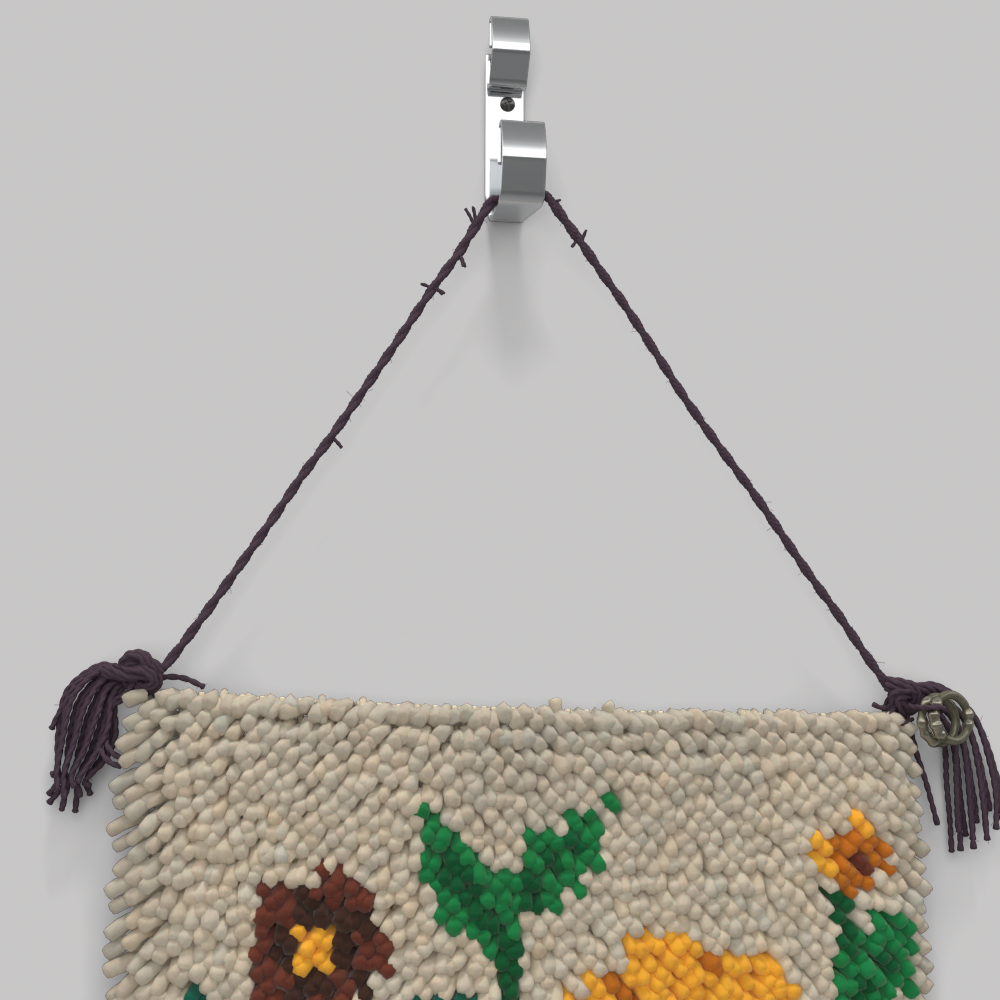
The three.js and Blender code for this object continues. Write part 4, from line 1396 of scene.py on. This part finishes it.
@dataclass
class Pile:
    """The cut yarn pile: two tufts from each knot, and the knot's loop behind the canvas."""

    chart: Chart = field(default_factory=Chart)
    sides: int = 7
    rings: tuple[tuple[float, float], ...] = (
        (0.0, 0.95), (0.4, 1.0), (0.72, 1.04), (0.9, 1.0), (0.975, 0.8),
    )
    dome: float = 0.025
    radius: float = 3.05
    depth_share: float = 1.3
    uneven: float = 0.1
    leg_offset: float = 1.9
    stand: float = 9.4
    reach: float = 13.2
    drop: float = 5.4
    flow: float = 3.4
    lean_out: float = 5.6
    left_flare: tuple[float, float] = (5.0, 3.0)
    root_stray: float = 0.4
    drop_stray: float = 1.2
    length_stray: float = 0.6
    side_stray: float = 1.1
    # how much each colour channel drops where the pile is made greyer
    grey_cut: tuple[float, float, float] = (0.17, 0.15, 0.12)
    bands: int = 3

    def knots(self) -> tuple[np.ndarray, np.ndarray, np.ndarray, np.ndarray]:
        """Every knot's column, row, place and colour.

        Returns:
            The columns, the rows, the places (x, distance below the fold) and the colours.
        """
        column, row = [a.ravel() for a in np.meshgrid(np.arange(CANVAS.columns), np.arange(CANVAS.rows))]
        x = CANVAS.left + (column + 0.5) * CANVAS.mesh
        below = CANVAS.first_row + row * CANVAS.mesh
        tint = np.array([self.chart.wool_at(c, r).value for c, r in zip(column, row)])
        return column, row, np.stack([x, below], 1), tint

    def top_greying(self, x: np.ndarray, below: np.ndarray) -> np.ndarray:
        """How much greyer the pile is made, which is most along its upper edge, in soft patches.

        Args:
            x: Places across the canvas.
            below: Distances below the top fold.

        Returns:
            A share from 0 to 1 for each place.
        """
        patches = 14 * np.sin(x / 31.0 + 0.8) + 9 * np.sin(x / 13.0 + below / 19.0)
        return np.clip((46 + patches - below) / 44, 0, 1)

    def tufts(self, tuft: Tuft, random: np.random.Generator) -> tuple[Shell, np.ndarray]:
        """All the tufts, each bent down and a little its own way, with those at the sides leaning out.

        Args:
            tuft: The tuft to copy.
            random: Where the small differences come from.

        Returns:
            The tufts, and for each the row and whether its wool is cream.
        """
        column, row, place, tint = self.knots()
        cream = np.all(tint == np.array(Wool.CREAM.value), axis=1)
        shells, rows, creams = [], [], []
        for leg in (-1, 1):
            n = len(column)
            top = np.clip(row / 2.5, 0, 1)
            x = place[:, 0] + leg * self.leg_offset + random.normal(0, self.root_stray, n)
            lower = leg * self.leg_offset * (0.5 + 0.3 * top)
            below = place[:, 1] + lower + random.normal(0, self.root_stray, n)
            front = CANVAS.front(below)
            z = CANVAS.fold_height(x) - below
            roots = np.stack([x, -front + 0.6, z], 1)
            lean = self.side_lean(x)
            edge = np.abs(lean)
            sway = 1.5 * np.sin(x / 23.0 + 1.3 * np.sin(below / 31.0)) + 1.1 * np.sin(below / 17.0 + x / 41.0)
            flow = self.flow * np.tanh((x - 10.0) / 70.0) + sway
            drop = self.drop * (0.68 + 0.32 * top) * (1 + 0.15 * edge) + random.normal(0, self.drop_stray, n)
            stand = self.stand * (1 - 0.45 * edge) * (0.8 + 0.2 * top)
            stand = stand + random.normal(0, self.length_stray, n)
            reach = self.reach * (1 - 0.5 * edge) + random.normal(0, self.length_stray, n) - 2.4 * (1 - top)
            at_top, growth = self.left_flare
            flare = np.minimum(lean, 0) * (at_top + growth * np.clip(below / 120.0, 0, 1))
            sideways = lean * self.lean_out + flare + flow * (1 - edge) + random.normal(0, self.side_stray, n)
            parting = edge * -leg * 0.6
            bends = roots + np.stack([sideways * 0.3, -stand, 0.8 + random.normal(0, 0.8, n) + parting], 1)
            tips = roots + np.stack([sideways, -reach, parting - drop], 1)
            radius = self.radius * (1 + random.normal(0, 0.07, n)) * (1 - 0.05 * edge)
            bright = 1 + random.normal(0, 0.04, n)
            warmth = random.normal(0, 0.025, n)
            # the tufts are made greyer along the upper edge and towards the side edges, half as much where
            # they aren't cream
            grey_share = np.maximum(self.top_greying(x, below), 1.2 * edge)[:, None] * np.where(cream, 1.0, 0.5)[:, None]
            yarn = tint * np.stack([bright * (1 + warmth), bright, bright * (1 - warmth)], 1)
            yarn = yarn * (1 - grey_share * np.array(self.grey_cut))
            yarn = np.clip(yarn, 0.001, 0.9)
            shells.append(tuft.laid(roots, bends, tips, radius, yarn, self.depth_share, self.uneven))
            rows.append(row)
            creams.append(cream)
        return Shell.joined(shells), np.stack([np.concatenate(rows), np.concatenate(creams)], 1)

    def side_lean(self, x: np.ndarray) -> np.ndarray:
        """How far tufts lean out, from -1 at the left edge to 1 at the right edge, and 0 between."""
        width = 2.6 * CANVAS.mesh
        left = np.clip((CANVAS.left + width - x) / width, 0, 1)
        right = np.clip((x - CANVAS.right + width) / width, 0, 1)
        return right**1.4 - left**1.4

    def parted(self, shell: Shell, groups: np.ndarray) -> list[Shell]:
        """Parts a shell of equal tufts by a number for each tuft.

        Args:
            shell: The tufts.
            groups: The part that each belongs to.

        Returns:
            One shell for each part.
        """
        count = len(groups)
        v, q, t = len(shell.points) // count, len(shell.quads) // count, len(shell.tris) // count
        parts = []
        for group in np.unique(groups):
            kept = np.flatnonzero(groups == group)
            shift = v * (np.arange(len(kept)) - kept)[:, None, None]
            parts.append(Shell(
                shell.points.reshape(count, v, 3)[kept].reshape(-1, 3),
                (shell.quads.reshape(count, q, 4)[kept] + shift).reshape(-1, 4),
                (shell.tris.reshape(count, t, 3)[kept] + shift).reshape(-1, 3),
                shell.quad_uv.reshape(count, q, 4, 2)[kept].reshape(-1, 4, 2),
                shell.tri_uv.reshape(count, t, 3, 2)[kept].reshape(-1, 3, 2),
                shell.tint.reshape(count, v, 4)[kept].reshape(-1, 4),
            ))
        return parts

    def strays(self, tuft: Tuft, random: np.random.Generator) -> Shell:
        """Odd tufts over the fold: two rounded ends, and a few long strands that hang from it.

        Args:
            tuft: The tuft to copy.
            random: Where the small differences come from.

        Returns:
            The tufts.
        """
        x = np.array([18.9, 40.9, 96.0, 101.5, 107.0, 112.5, 118.0, -112.0, -74.0, -58.0])
        rise = np.array([3.0, 1.8, 1.4, 1.2, 1.6, 1.0, 1.3, 0.8, 0.9, 0.7])
        fall = np.array([0, 0, 15.0, 17.0, 14.0, 18.0, 13.0, 12.0, 11.0, 12.0])
        n = len(x)
        fold = CANVAS.fold_height(x)
        y = np.full(n, -CANVAS.stand_off[0] - 1.5)
        up = fall == 0
        roots = np.stack([x, y, fold - np.where(up, 5.0, 0.6)], 1)
        bends = np.stack([x, y - np.where(up, 2.4, 5.0), fold + np.where(up, 0.0, rise)], 1)
        aside = x + random.normal(0, 1.6, n)
        tips = np.stack([aside, y - np.where(up, 2.0, 6.8), fold + np.where(up, rise, -fall)], 1)
        radius = np.where(up, 2.6, 1.7)
        tint = np.array(Wool.CREAM.value)[None] * (1 + random.normal(0, 0.05, n))[:, None]
        return tuft.laid(roots, bends, tips, radius, tint, self.depth_share)

    def loops(self, tuft: Tuft, random: np.random.Generator) -> Shell:
        """The knots' loops behind the canvas, which lie on the hem where there is one.

        Args:
            tuft: The tuft to copy.
            random: Where the small differences come from.

        Returns:
            The loops.
        """
        _, _, place, tint = self.knots()
        n = len(place)
        x, below = place[:, 0], place[:, 1]
        hemmed = (below < CANVAS.hem) | (below > CANVAS.height - CANVAS.hem)
        behind = np.where(hemmed, 2 * CANVAS.thickness + CANVAS.layer_gap, CANVAS.thickness) + 0.35
        y = -(CANVAS.front(below) - behind)
        z = CANVAS.fold_height(x) - below + random.normal(0, 0.25, n)
        half = 2.75
        ends = np.stack([np.full(n, half), np.full(n, -0.4), random.normal(0, 0.25, n)], 1)
        middle = np.stack([x, y, z], 1)
        bends = middle + np.array([0.0, 0.75, 0.0])
        bright = (0.92 + random.normal(0, 0.07, n))[:, None]
        colour = np.clip(tint * bright, 0.001, 0.9)
        return tuft.laid(middle - ends * np.array([1, -1, 1]), bends, middle + ends, np.full(n, 1.25), colour)

    def build(self, random: np.random.Generator) -> None:
        """Builds the pile's pieces.

        Args:
            random: Where the small differences come from.
        """
        tuft = Tuft.modelled(self.sides, self.rings, self.dome)
        tufts, facts = self.tufts(tuft, random)
        per_band = math.ceil(CANVAS.rows / self.bands)
        groups = np.where(facts[:, 1] > 0, facts[:, 0] // per_band, self.bands)
        names = ["pile_ground_top", "pile_ground_middle", "pile_ground_bottom", "pile_flowers"]
        parts = list(zip(names, self.parted(tufts, groups)))
        parts.append(("pile_stray_tufts", self.strays(tuft, random)))
        parts.append(("knot_loops", self.loops(tuft, random)))
        for name, part in parts:
            Bench.settle(part.to_object("tufts"), name, "pile_yarn", WOOL, "pile")


# The hook


@dataclass(frozen=True)
class ArmPlan:
    """One arm of the hook: the middle of its strap, as distances from the wall and heights."""

    bottom: float
    ridge: tuple[float, float]
    tip: tuple[float, float]
    curl: float
    tongue: float
    lean: float
    rise: float = 0.0
    shoulder: float = 4.0
    face: tuple[float, float] = (0.1, 0.3)

    def end(self) -> list[tuple[float, float]]:
        """The arm's end: an upright shoulder, the curved face above it, the curl and the turned-in tongue.

        Returns:
            Points from below the shoulder to the tongue's end.
        """
        (ridge, ridge_z), (tip, tip_z) = self.ridge, self.tip
        low, high = [math.tan(angle) for angle in self.face]
        rise = (ridge - tip - (tip_z - ridge_z) * high) / (low - high)
        bend = np.array([ridge - rise * low, ridge_z + rise])
        t = np.linspace(0, 1, 12)[:, None]
        face = np.array(self.ridge) * (1 - t) ** 2 + 2 * bend * t * (1 - t) + np.array(self.tip) * t**2
        centre = (tip - self.curl * math.cos(self.face[1]), tip_z - self.curl * math.sin(self.face[1]))
        curl = arc(centre, self.curl, math.degrees(self.face[1]), 180)
        shoulder = [(ridge - 0.12, ridge_z - self.shoulder), (ridge, ridge_z - 0.7 * self.shoulder)]
        return [*shoulder, *map(tuple, face), *curl[1:], (centre[0] - self.curl, self.tongue)]

    def bearing(self, strap: float, depth: np.ndarray, height: np.ndarray) -> np.ndarray:
        """How far the strap has borne off to the right.

        Args:
            strap: The strap's thickness.
            depth: Distances from the wall.
            height: Heights.

        Returns:
            The distance at each point.
        """
        t = np.clip((depth - strap) / (2 * strap), 0, 1)
        return self.lean * depth + self.rise * t * t * (3 - 2 * t) * (height - self.bottom)


def arc(centre: tuple[float, float], radius: float, start: float, end: float) -> list[tuple[float, float]]:
    """Points on an arc, from one angle to another in degrees."""
    return [(centre[0] + radius * math.cos(math.radians(a)), centre[1] + radius * math.sin(math.radians(a)))
            for a in np.linspace(start, end, 16)]


def eased(value: float) -> float:
    """A smooth step from 0 to 1."""
    t = min(1.0, max(0.0, value))
    return t * t * (3 - 2 * t)


@dataclass
class StrapHook:
    """The plated hook: a plate that turns up as the lower arm, an upper arm on it, and its screw."""

    strap: float = 1.6
    seat_gap: float = 0.3
    rounding: float = 0.42
    across: int = 8
    plate_top: float = 50.0
    plate_half: float = 8.6
    bottom_half: float = 6.9
    taper: float = 18.0
    back_radius: float = 3.2
    front_radius: float = 4.2
    leg: float = 25.0
    flare: float = 22.7
    lower_half: float = 9.5
    lower: ArmPlan = ArmPlan(-30.6, (26.0, -8.0), (22.8, 6.2), 2.1, -11.0, 0.168, 0.03)
    foot_top: float = 46.0
    bend_radius: float = 2.4
    upper_half: float = 8.35
    upper: ArmPlan = ArmPlan(31.5, (13.2, 49.0), (10.7, 61.9), 1.7, 50.0, 0.105)
    screw_at: tuple[float, float] = (1.4, 26.0)
    hole: float = 2.1
    head: float = 3.4
    head_height: float = 1.7
    shank: float = 1.7

    def lower_path(self) -> list[tuple[float, float]]:
        """The middle of the plate and lower arm, as (distance from the wall, height)."""
        half = self.strap / 2
        bend = self.lower.bottom + half
        back, front = self.back_radius, self.front_radius
        return [
            (half, self.plate_top), *arc((half + back, bend + back), back, 180, 270),
            *arc((self.leg - front, bend + front), front, -90, 0), *self.lower.end(),
        ]

    def upper_path(self) -> list[tuple[float, float]]:
        """The middle of the upper arm, as (distance from the wall, height)."""
        foot = self.strap * 1.5 + self.seat_gap
        bend = self.upper.bottom + self.strap / 2 + self.bend_radius
        return [(foot, self.foot_top), *arc((foot + self.bend_radius, bend), self.bend_radius, 180, 360),
                *self.upper.end()]

    def bent_strap(self, path: Sequence[tuple[float, float]], steps: int,
                   half_at: Callable[[float, float], float], arm: ArmPlan) -> bpy.types.Object:
        """Bends a flat strip along a path and gives it its thickness and rounded edges.

        Args:
            path: The strap's middle as (distance from the wall, height).
            steps: How many pieces the strip has along it.
            half_at: The strap's half width at a point of the path.
            arm: The arm, which says how far it bears off to the right.

        Returns:
            The strap, in metres and at the origin.
        """
        line = np.array(path)
        length = lengths_along(line)
        at = np.unique(np.concatenate([np.linspace(0, length[-1], steps), length]))
        at = at[np.concatenate([[True], np.diff(at) > 0.12])]
        depth, height = np.interp(at, length, line[:, 0]), np.interp(at, length, line[:, 1])
        aside = arm.bearing(self.strap, depth, height)
        Bench.clear()
        bpy.ops.mesh.primitive_grid_add(x_subdivisions=self.across, y_subdivisions=len(at) - 1, size=2)
        strap = bpy.context.object
        # marks the turned-in tongue at each tip, where the plating gets painted shade
        dull = strap.data.color_attributes.new("dull", "FLOAT_COLOR", "POINT")
        for vertex, colour in zip(strap.data.vertices, dull.data):
            k = int(round((vertex.co.y + 1) / 2 * (len(at) - 1)))
            half = half_at(depth[k], height[k])
            vertex.co = (vertex.co.x * half + aside[k], -depth[k], height[k])
            turned_in = 1.0 if at[k] > length[-2] - self.strap else 0.0
            colour.color = (turned_in, turned_in, turned_in, 1.0)
        Bench.modify(strap, "SOLIDIFY", thickness=self.strap, offset=0.0, use_even_offset=True)
        Bench.modify(strap, "BEVEL", width=self.rounding, segments=3, limit_method="ANGLE",
                     angle_limit=math.radians(55))
        Bench.place(strap, Matrix.Identity(4))
        Bench.face_outwards(strap)
        return strap

    def lower_half_at(self, depth: float, height: float) -> float:
        """The half width of the plate and lower arm at a point."""
        if depth < self.strap:
            share = eased((-height - self.taper) / (-self.lower.bottom - self.taper))
            return self.plate_half + (self.bottom_half - self.plate_half) * share
        share = eased((depth - self.strap) / (self.flare - self.strap))
        return self.bottom_half + (self.lower_half - self.bottom_half) * share

    def plate(self) -> None:
        """Builds the plate and lower arm, with the screw's hole."""
        strap = self.bent_strap(self.lower_path(), 190, self.lower_half_at, self.lower)
        Bench.clear()
        x, z = self.screw_at
        bpy.ops.mesh.primitive_cylinder_add(
            vertices=40, radius=self.hole * MM, depth=6 * MM,
            location=(x * MM, -0.8 * MM, z * MM), rotation=(math.pi / 2, 0, 0),
        )
        Bench.cut(strap, bpy.context.object)
        Bench.smooth(strap, 28)
        Bench.settle(strap, "hook_back_plate", "plated_steel", PLATED, "hook_plate")

    def upper_arm(self) -> None:
        """Builds the upper arm."""
        strap = self.bent_strap(self.upper_path(), 110, lambda depth, height: self.upper_half, self.upper)
        Bench.smooth(strap, 28)
        Bench.settle(strap, "hook_top_arm", "plated_steel", PLATED, "hook_upper_arm")

    def screw(self) -> None:
        """Builds the domed screw with its crossed recess, and its shank through the plate."""
        Bench.clear()
        bpy.ops.mesh.primitive_uv_sphere_add(segments=40, ring_count=20, radius=1)
        head = bpy.context.object
        bpy.ops.object.mode_set(mode="EDIT")
        bpy.ops.mesh.select_all(action="SELECT")
        bpy.ops.mesh.bisect(plane_co=(0, 0, 0), plane_no=(0, 0, 1), clear_inner=True, use_fill=True)
        bpy.ops.object.mode_set(mode="OBJECT")
        head.data.transform(Matrix.Diagonal((self.head, self.head, self.head_height, 1.0)))
        for turn in (0.4, 0.4 + math.pi / 2):
            Bench.clear()
            bpy.ops.mesh.primitive_cube_add(size=1, location=(0, 0, self.head_height), rotation=(0, 0, turn))
            cutter = bpy.context.object
            cutter.scale = (3.9, 0.75, 1.5)
            Bench.pick(cutter)
            bpy.ops.object.transform_apply(location=True, rotation=True, scale=True)
            Bench.cut(head, cutter)
        seat = self.strap + self.seat_gap
        Bench.clear()
        bpy.ops.mesh.primitive_cylinder_add(vertices=28, radius=self.shank, depth=seat - 0.1,
                                            location=(0, 0, -(seat - 0.1) / 2))
        screw = Bench.join(head, bpy.context.object)
        x, z = self.screw_at
        Bench.place(screw, Matrix.Translation((x, -seat, z)) @ Matrix.Rotation(math.pi / 2, 4, "X"))
        Bench.smooth(screw, 40)
        Bench.settle(screw, "hook_screw_head", "screw_steel", SCREW_STEEL, "hook_screw")

    def build(self) -> None:
        """Builds the hook's pieces."""
        self.plate()
        self.upper_arm()
        self.screw()


# The rings


@dataclass(frozen=True)
class Lump:
    """A cast lump on a ring: its place and width round it in degrees, its rise and where it faces."""

    at: float
    width: float
    rise: float
    faces: float = 0.0


@dataclass
class CastRing:
    """A cast brass ring: a thick smooth wire with a cluster of lumps on one side and two on the other."""

    name: str
    node: str
    at: Point
    turn: float
    tilt: float
    lumps: tuple[Lump, ...]
    radius: float = 9.4
    wire: float = 1.75

    def build(self) -> None:
        """Builds the ring: a torus whose wire swells into the lumps, drawn in between them."""
        Bench.clear()
        bpy.ops.mesh.primitive_torus_add(major_segments=180, minor_segments=20, major_radius=self.radius,
                                         minor_radius=1.0)
        ring = bpy.context.object
        tint = ring.data.color_attributes.new("tint", "FLOAT_COLOR", "POINT")
        for vertex, colour in zip(ring.data.vertices, tint.data):
            x, y, z = vertex.co
            around = math.atan2(y, x)
            out, up = math.hypot(x, y) - self.radius, z
            side = math.degrees(math.atan2(up, out))
            rise = sum(self.swell(lump, math.degrees(around), side) for lump in self.lumps)
            thick = self.wire + rise
            vertex.co = ((self.radius + out * thick) * math.cos(around),
                         (self.radius + out * thick) * math.sin(around), up * thick)
            high = min(1.0, max(0.0, 0.45 + rise * 1.2))
            colour.color = (high, high, high, 1.0)
        Bench.modify(ring, "SUBSURF", levels=1, render_levels=1)
        place = Matrix.Translation(self.at) @ Matrix.Rotation(math.radians(self.turn), 4, "Z")
        Bench.place(ring, place @ Matrix.Rotation(math.pi / 2, 4, "X") @ Matrix.Rotation(
            math.radians(self.tilt), 4, "Z"))
        Bench.smooth(ring, 70)
        Bench.settle(ring, self.name, "ring_brass", BRASS, self.node)

    @staticmethod
    def swell(lump: Lump, around: float, side: float) -> float:
        """How far one lump raises the wire's skin at a place.

        Args:
            lump: The lump.
            around: The place round the ring, in degrees.
            side: The place round the wire, in degrees.

        Returns:
            The rise in millimetres.
        """
        off = (around - lump.at + 180) % 360 - 180
        facing = 0.5 + 0.5 * math.cos(math.radians(side - lump.faces))
        hill = math.exp(-((off / lump.width) ** 2))
        groove = math.exp(-(((abs(off) - 1.7 * lump.width) / (0.5 * lump.width)) ** 2))
        return lump.rise * (hill * (0.25 + 0.75 * facing) - 0.25 * groove)


# The room


@dataclass
class Studio:
    """The camera, the soft light, and a plain floor and wall."""

    eye: tuple[float, float, float] = (-0.08727, -0.60828, -0.29010)
    heading: float = 8.0
    pitch: float = 12.5
    lens: float = 54.0
    wall_behind: float = 0.0012
    floor_height: float = -1.15
    backdrop: tuple[float, float, float] = (0.575, 0.568, 0.566)
    # the room's brightness by the angle above the horizon, in degrees
    room: tuple[tuple[float, float], ...] = (
        (-90, 0.3), (-45, 0.24), (-16, 0.15), (0, 0.13), (22.0, 0.15), (23.2, 1.6), (37, 1.6),
        (40, 1.05), (45, 0.5), (50, 0.32), (60, 0.24), (90, 0.3),
    )

    def camera(self) -> None:
        """Makes the photograph's camera: below the hook and to its left, looking up."""
        data = bpy.data.cameras.new("camera")
        data.lens, data.sensor_width = self.lens, 36.0
        data.clip_start, data.clip_end = 0.01, 50.0
        camera = bpy.data.objects.new("camera", data)
        heading, pitch = math.radians(self.heading), math.radians(self.pitch)
        level = math.cos(pitch)
        forward = Vector((math.sin(heading) * level, math.cos(heading) * level, math.sin(pitch)))
        camera.location = self.eye
        camera.rotation_euler = forward.to_track_quat("-Z", "Y").to_euler()
        bpy.context.scene.collection.objects.link(camera)
        bpy.context.scene.camera = camera

    def area(self, name: str, at: Point, towards: Point, size: float, power: float, tint: Point) -> None:
        """Adds a soft square light.

        Args:
            name: Its name.
            at: Where it stands, in metres.
            towards: The point that it faces.
            size: Its width.
            power: Its power in watts.
            tint: Its colour.
        """
        data = bpy.data.lights.new(name, "AREA")
        data.size, data.energy, data.color = size, power, tint
        light = bpy.data.objects.new(name, data)
        light.location = at
        light.visible_glossy = False
        light.rotation_euler = (Vector(towards) - Vector(at)).to_track_quat("-Z", "Y").to_euler()
        bpy.context.scene.collection.objects.link(light)

    def world(self) -> None:
        """A room for the plating to show: a bright band above eye height, grey above it and darker below."""
        world = bpy.data.worlds.new("room")
        bpy.context.scene.world = world
        world.use_nodes = True
        shader = Shader(world.node_tree)
        height = shader.node("SeparateXYZ", {}, {0: shader.node("TexCoord", {}, {}).out("Generated")}).out(2)
        stops = [((math.sin(math.radians(angle)) + 1) / 2, (level,) * 3) for angle, level in self.room]
        room = shader.node("ValToRGB", {"stops": stops}, {0: height * 0.5 + 0.5}).out()
        lit = shader.node("Background", {}, {0: room, 1: 1.0}).out()
        plain = shader.node("Background", {}, {0: (*self.backdrop, 1.0), 1: 1.0}).out()
        seen = shader.node("LightPath", {}, {}).out("Is Camera Ray")
        both = shader.node("MixShader", {}, {0: seen, 1: lit, 2: plain}).out()
        shader.node("OutputWorld", {}, {0: both})

    def plane(self, name: str, size: float, at: Point, turn: Point, level: float) -> bpy.types.Object:
        """A large plain plane, as light as level says, that isn't part of the object."""
        Bench.clear()
        bpy.ops.mesh.primitive_plane_add(size=size, location=at, rotation=turn)
        plane = bpy.context.object
        plane.name = name
        plane.data.materials.append(Plain(name, level).material())
        return plane

    def build(self) -> None:
        """Makes the floor, the wall's shadow catcher and the lights."""
        floor = self.plane("floor", 8.0, (0, 0, self.floor_height), (0, 0, 0), 0.62)
        floor.visible_glossy = False
        wall = self.plane("wall", 3.0, (0, self.wall_behind, -0.3), (math.pi / 2, 0, 0), 0.4)
        wall.is_shadow_catcher = True
        self.world()
        bpy.context.scene.view_settings.view_transform = "Standard"
        self.area("ceiling_light", (0.0, -0.45, 1.25), (0.0, 0.0, -0.3), 0.3, 16.0, (1.0, 0.985, 0.96))
        self.area("fill_light", (-0.5, -1.9, -0.1), (0.0, 0.0, -0.3), 1.6, 14.0, (0.99, 0.99, 1.0))


def main() -> None:
    """Builds the scene: the camera and cord first, then the rest of the hanging, the hook and the room."""
    logging.basicConfig(level=logging.INFO, format="%(name)s: %(message)s", stream=sys.stdout)
    random = np.random.default_rng(20531)
    studio = Studio()
    studio.camera()
    HangingCord().build(random)
    left_tassel().build(random)
    right_tassel().build(random)
    Canvas().build()
    Pile().build(random)
    StrapHook().build()
    front_lumps = (
        Lump(150, 12, 1.3, 40), Lump(176, 10, 1.5, 10), Lump(199, 11, 1.7, 40),
        Lump(222, 10, 1.3, -10), Lump(10, 10, 0.9, 120), Lump(-16, 10, 0.8, 160),
    )
    back_lumps = (
        Lump(136, 11, 0.9, 60), Lump(190, 12, 1.0, 60), Lump(218, 11, 1.2, 20), Lump(244, 12, 1.3, 50),
    )
    CastRing("ring_outer", "ring_front", (181.6, -22.0, -244.3), 20.7, 0.0, front_lumps).build()
    CastRing("ring_inner", "ring_back", (177.9, -17.8, -244.9), 21.5, 0.0, back_lumps).build()
    studio.build()


if __name__ == "__main__":
    main()
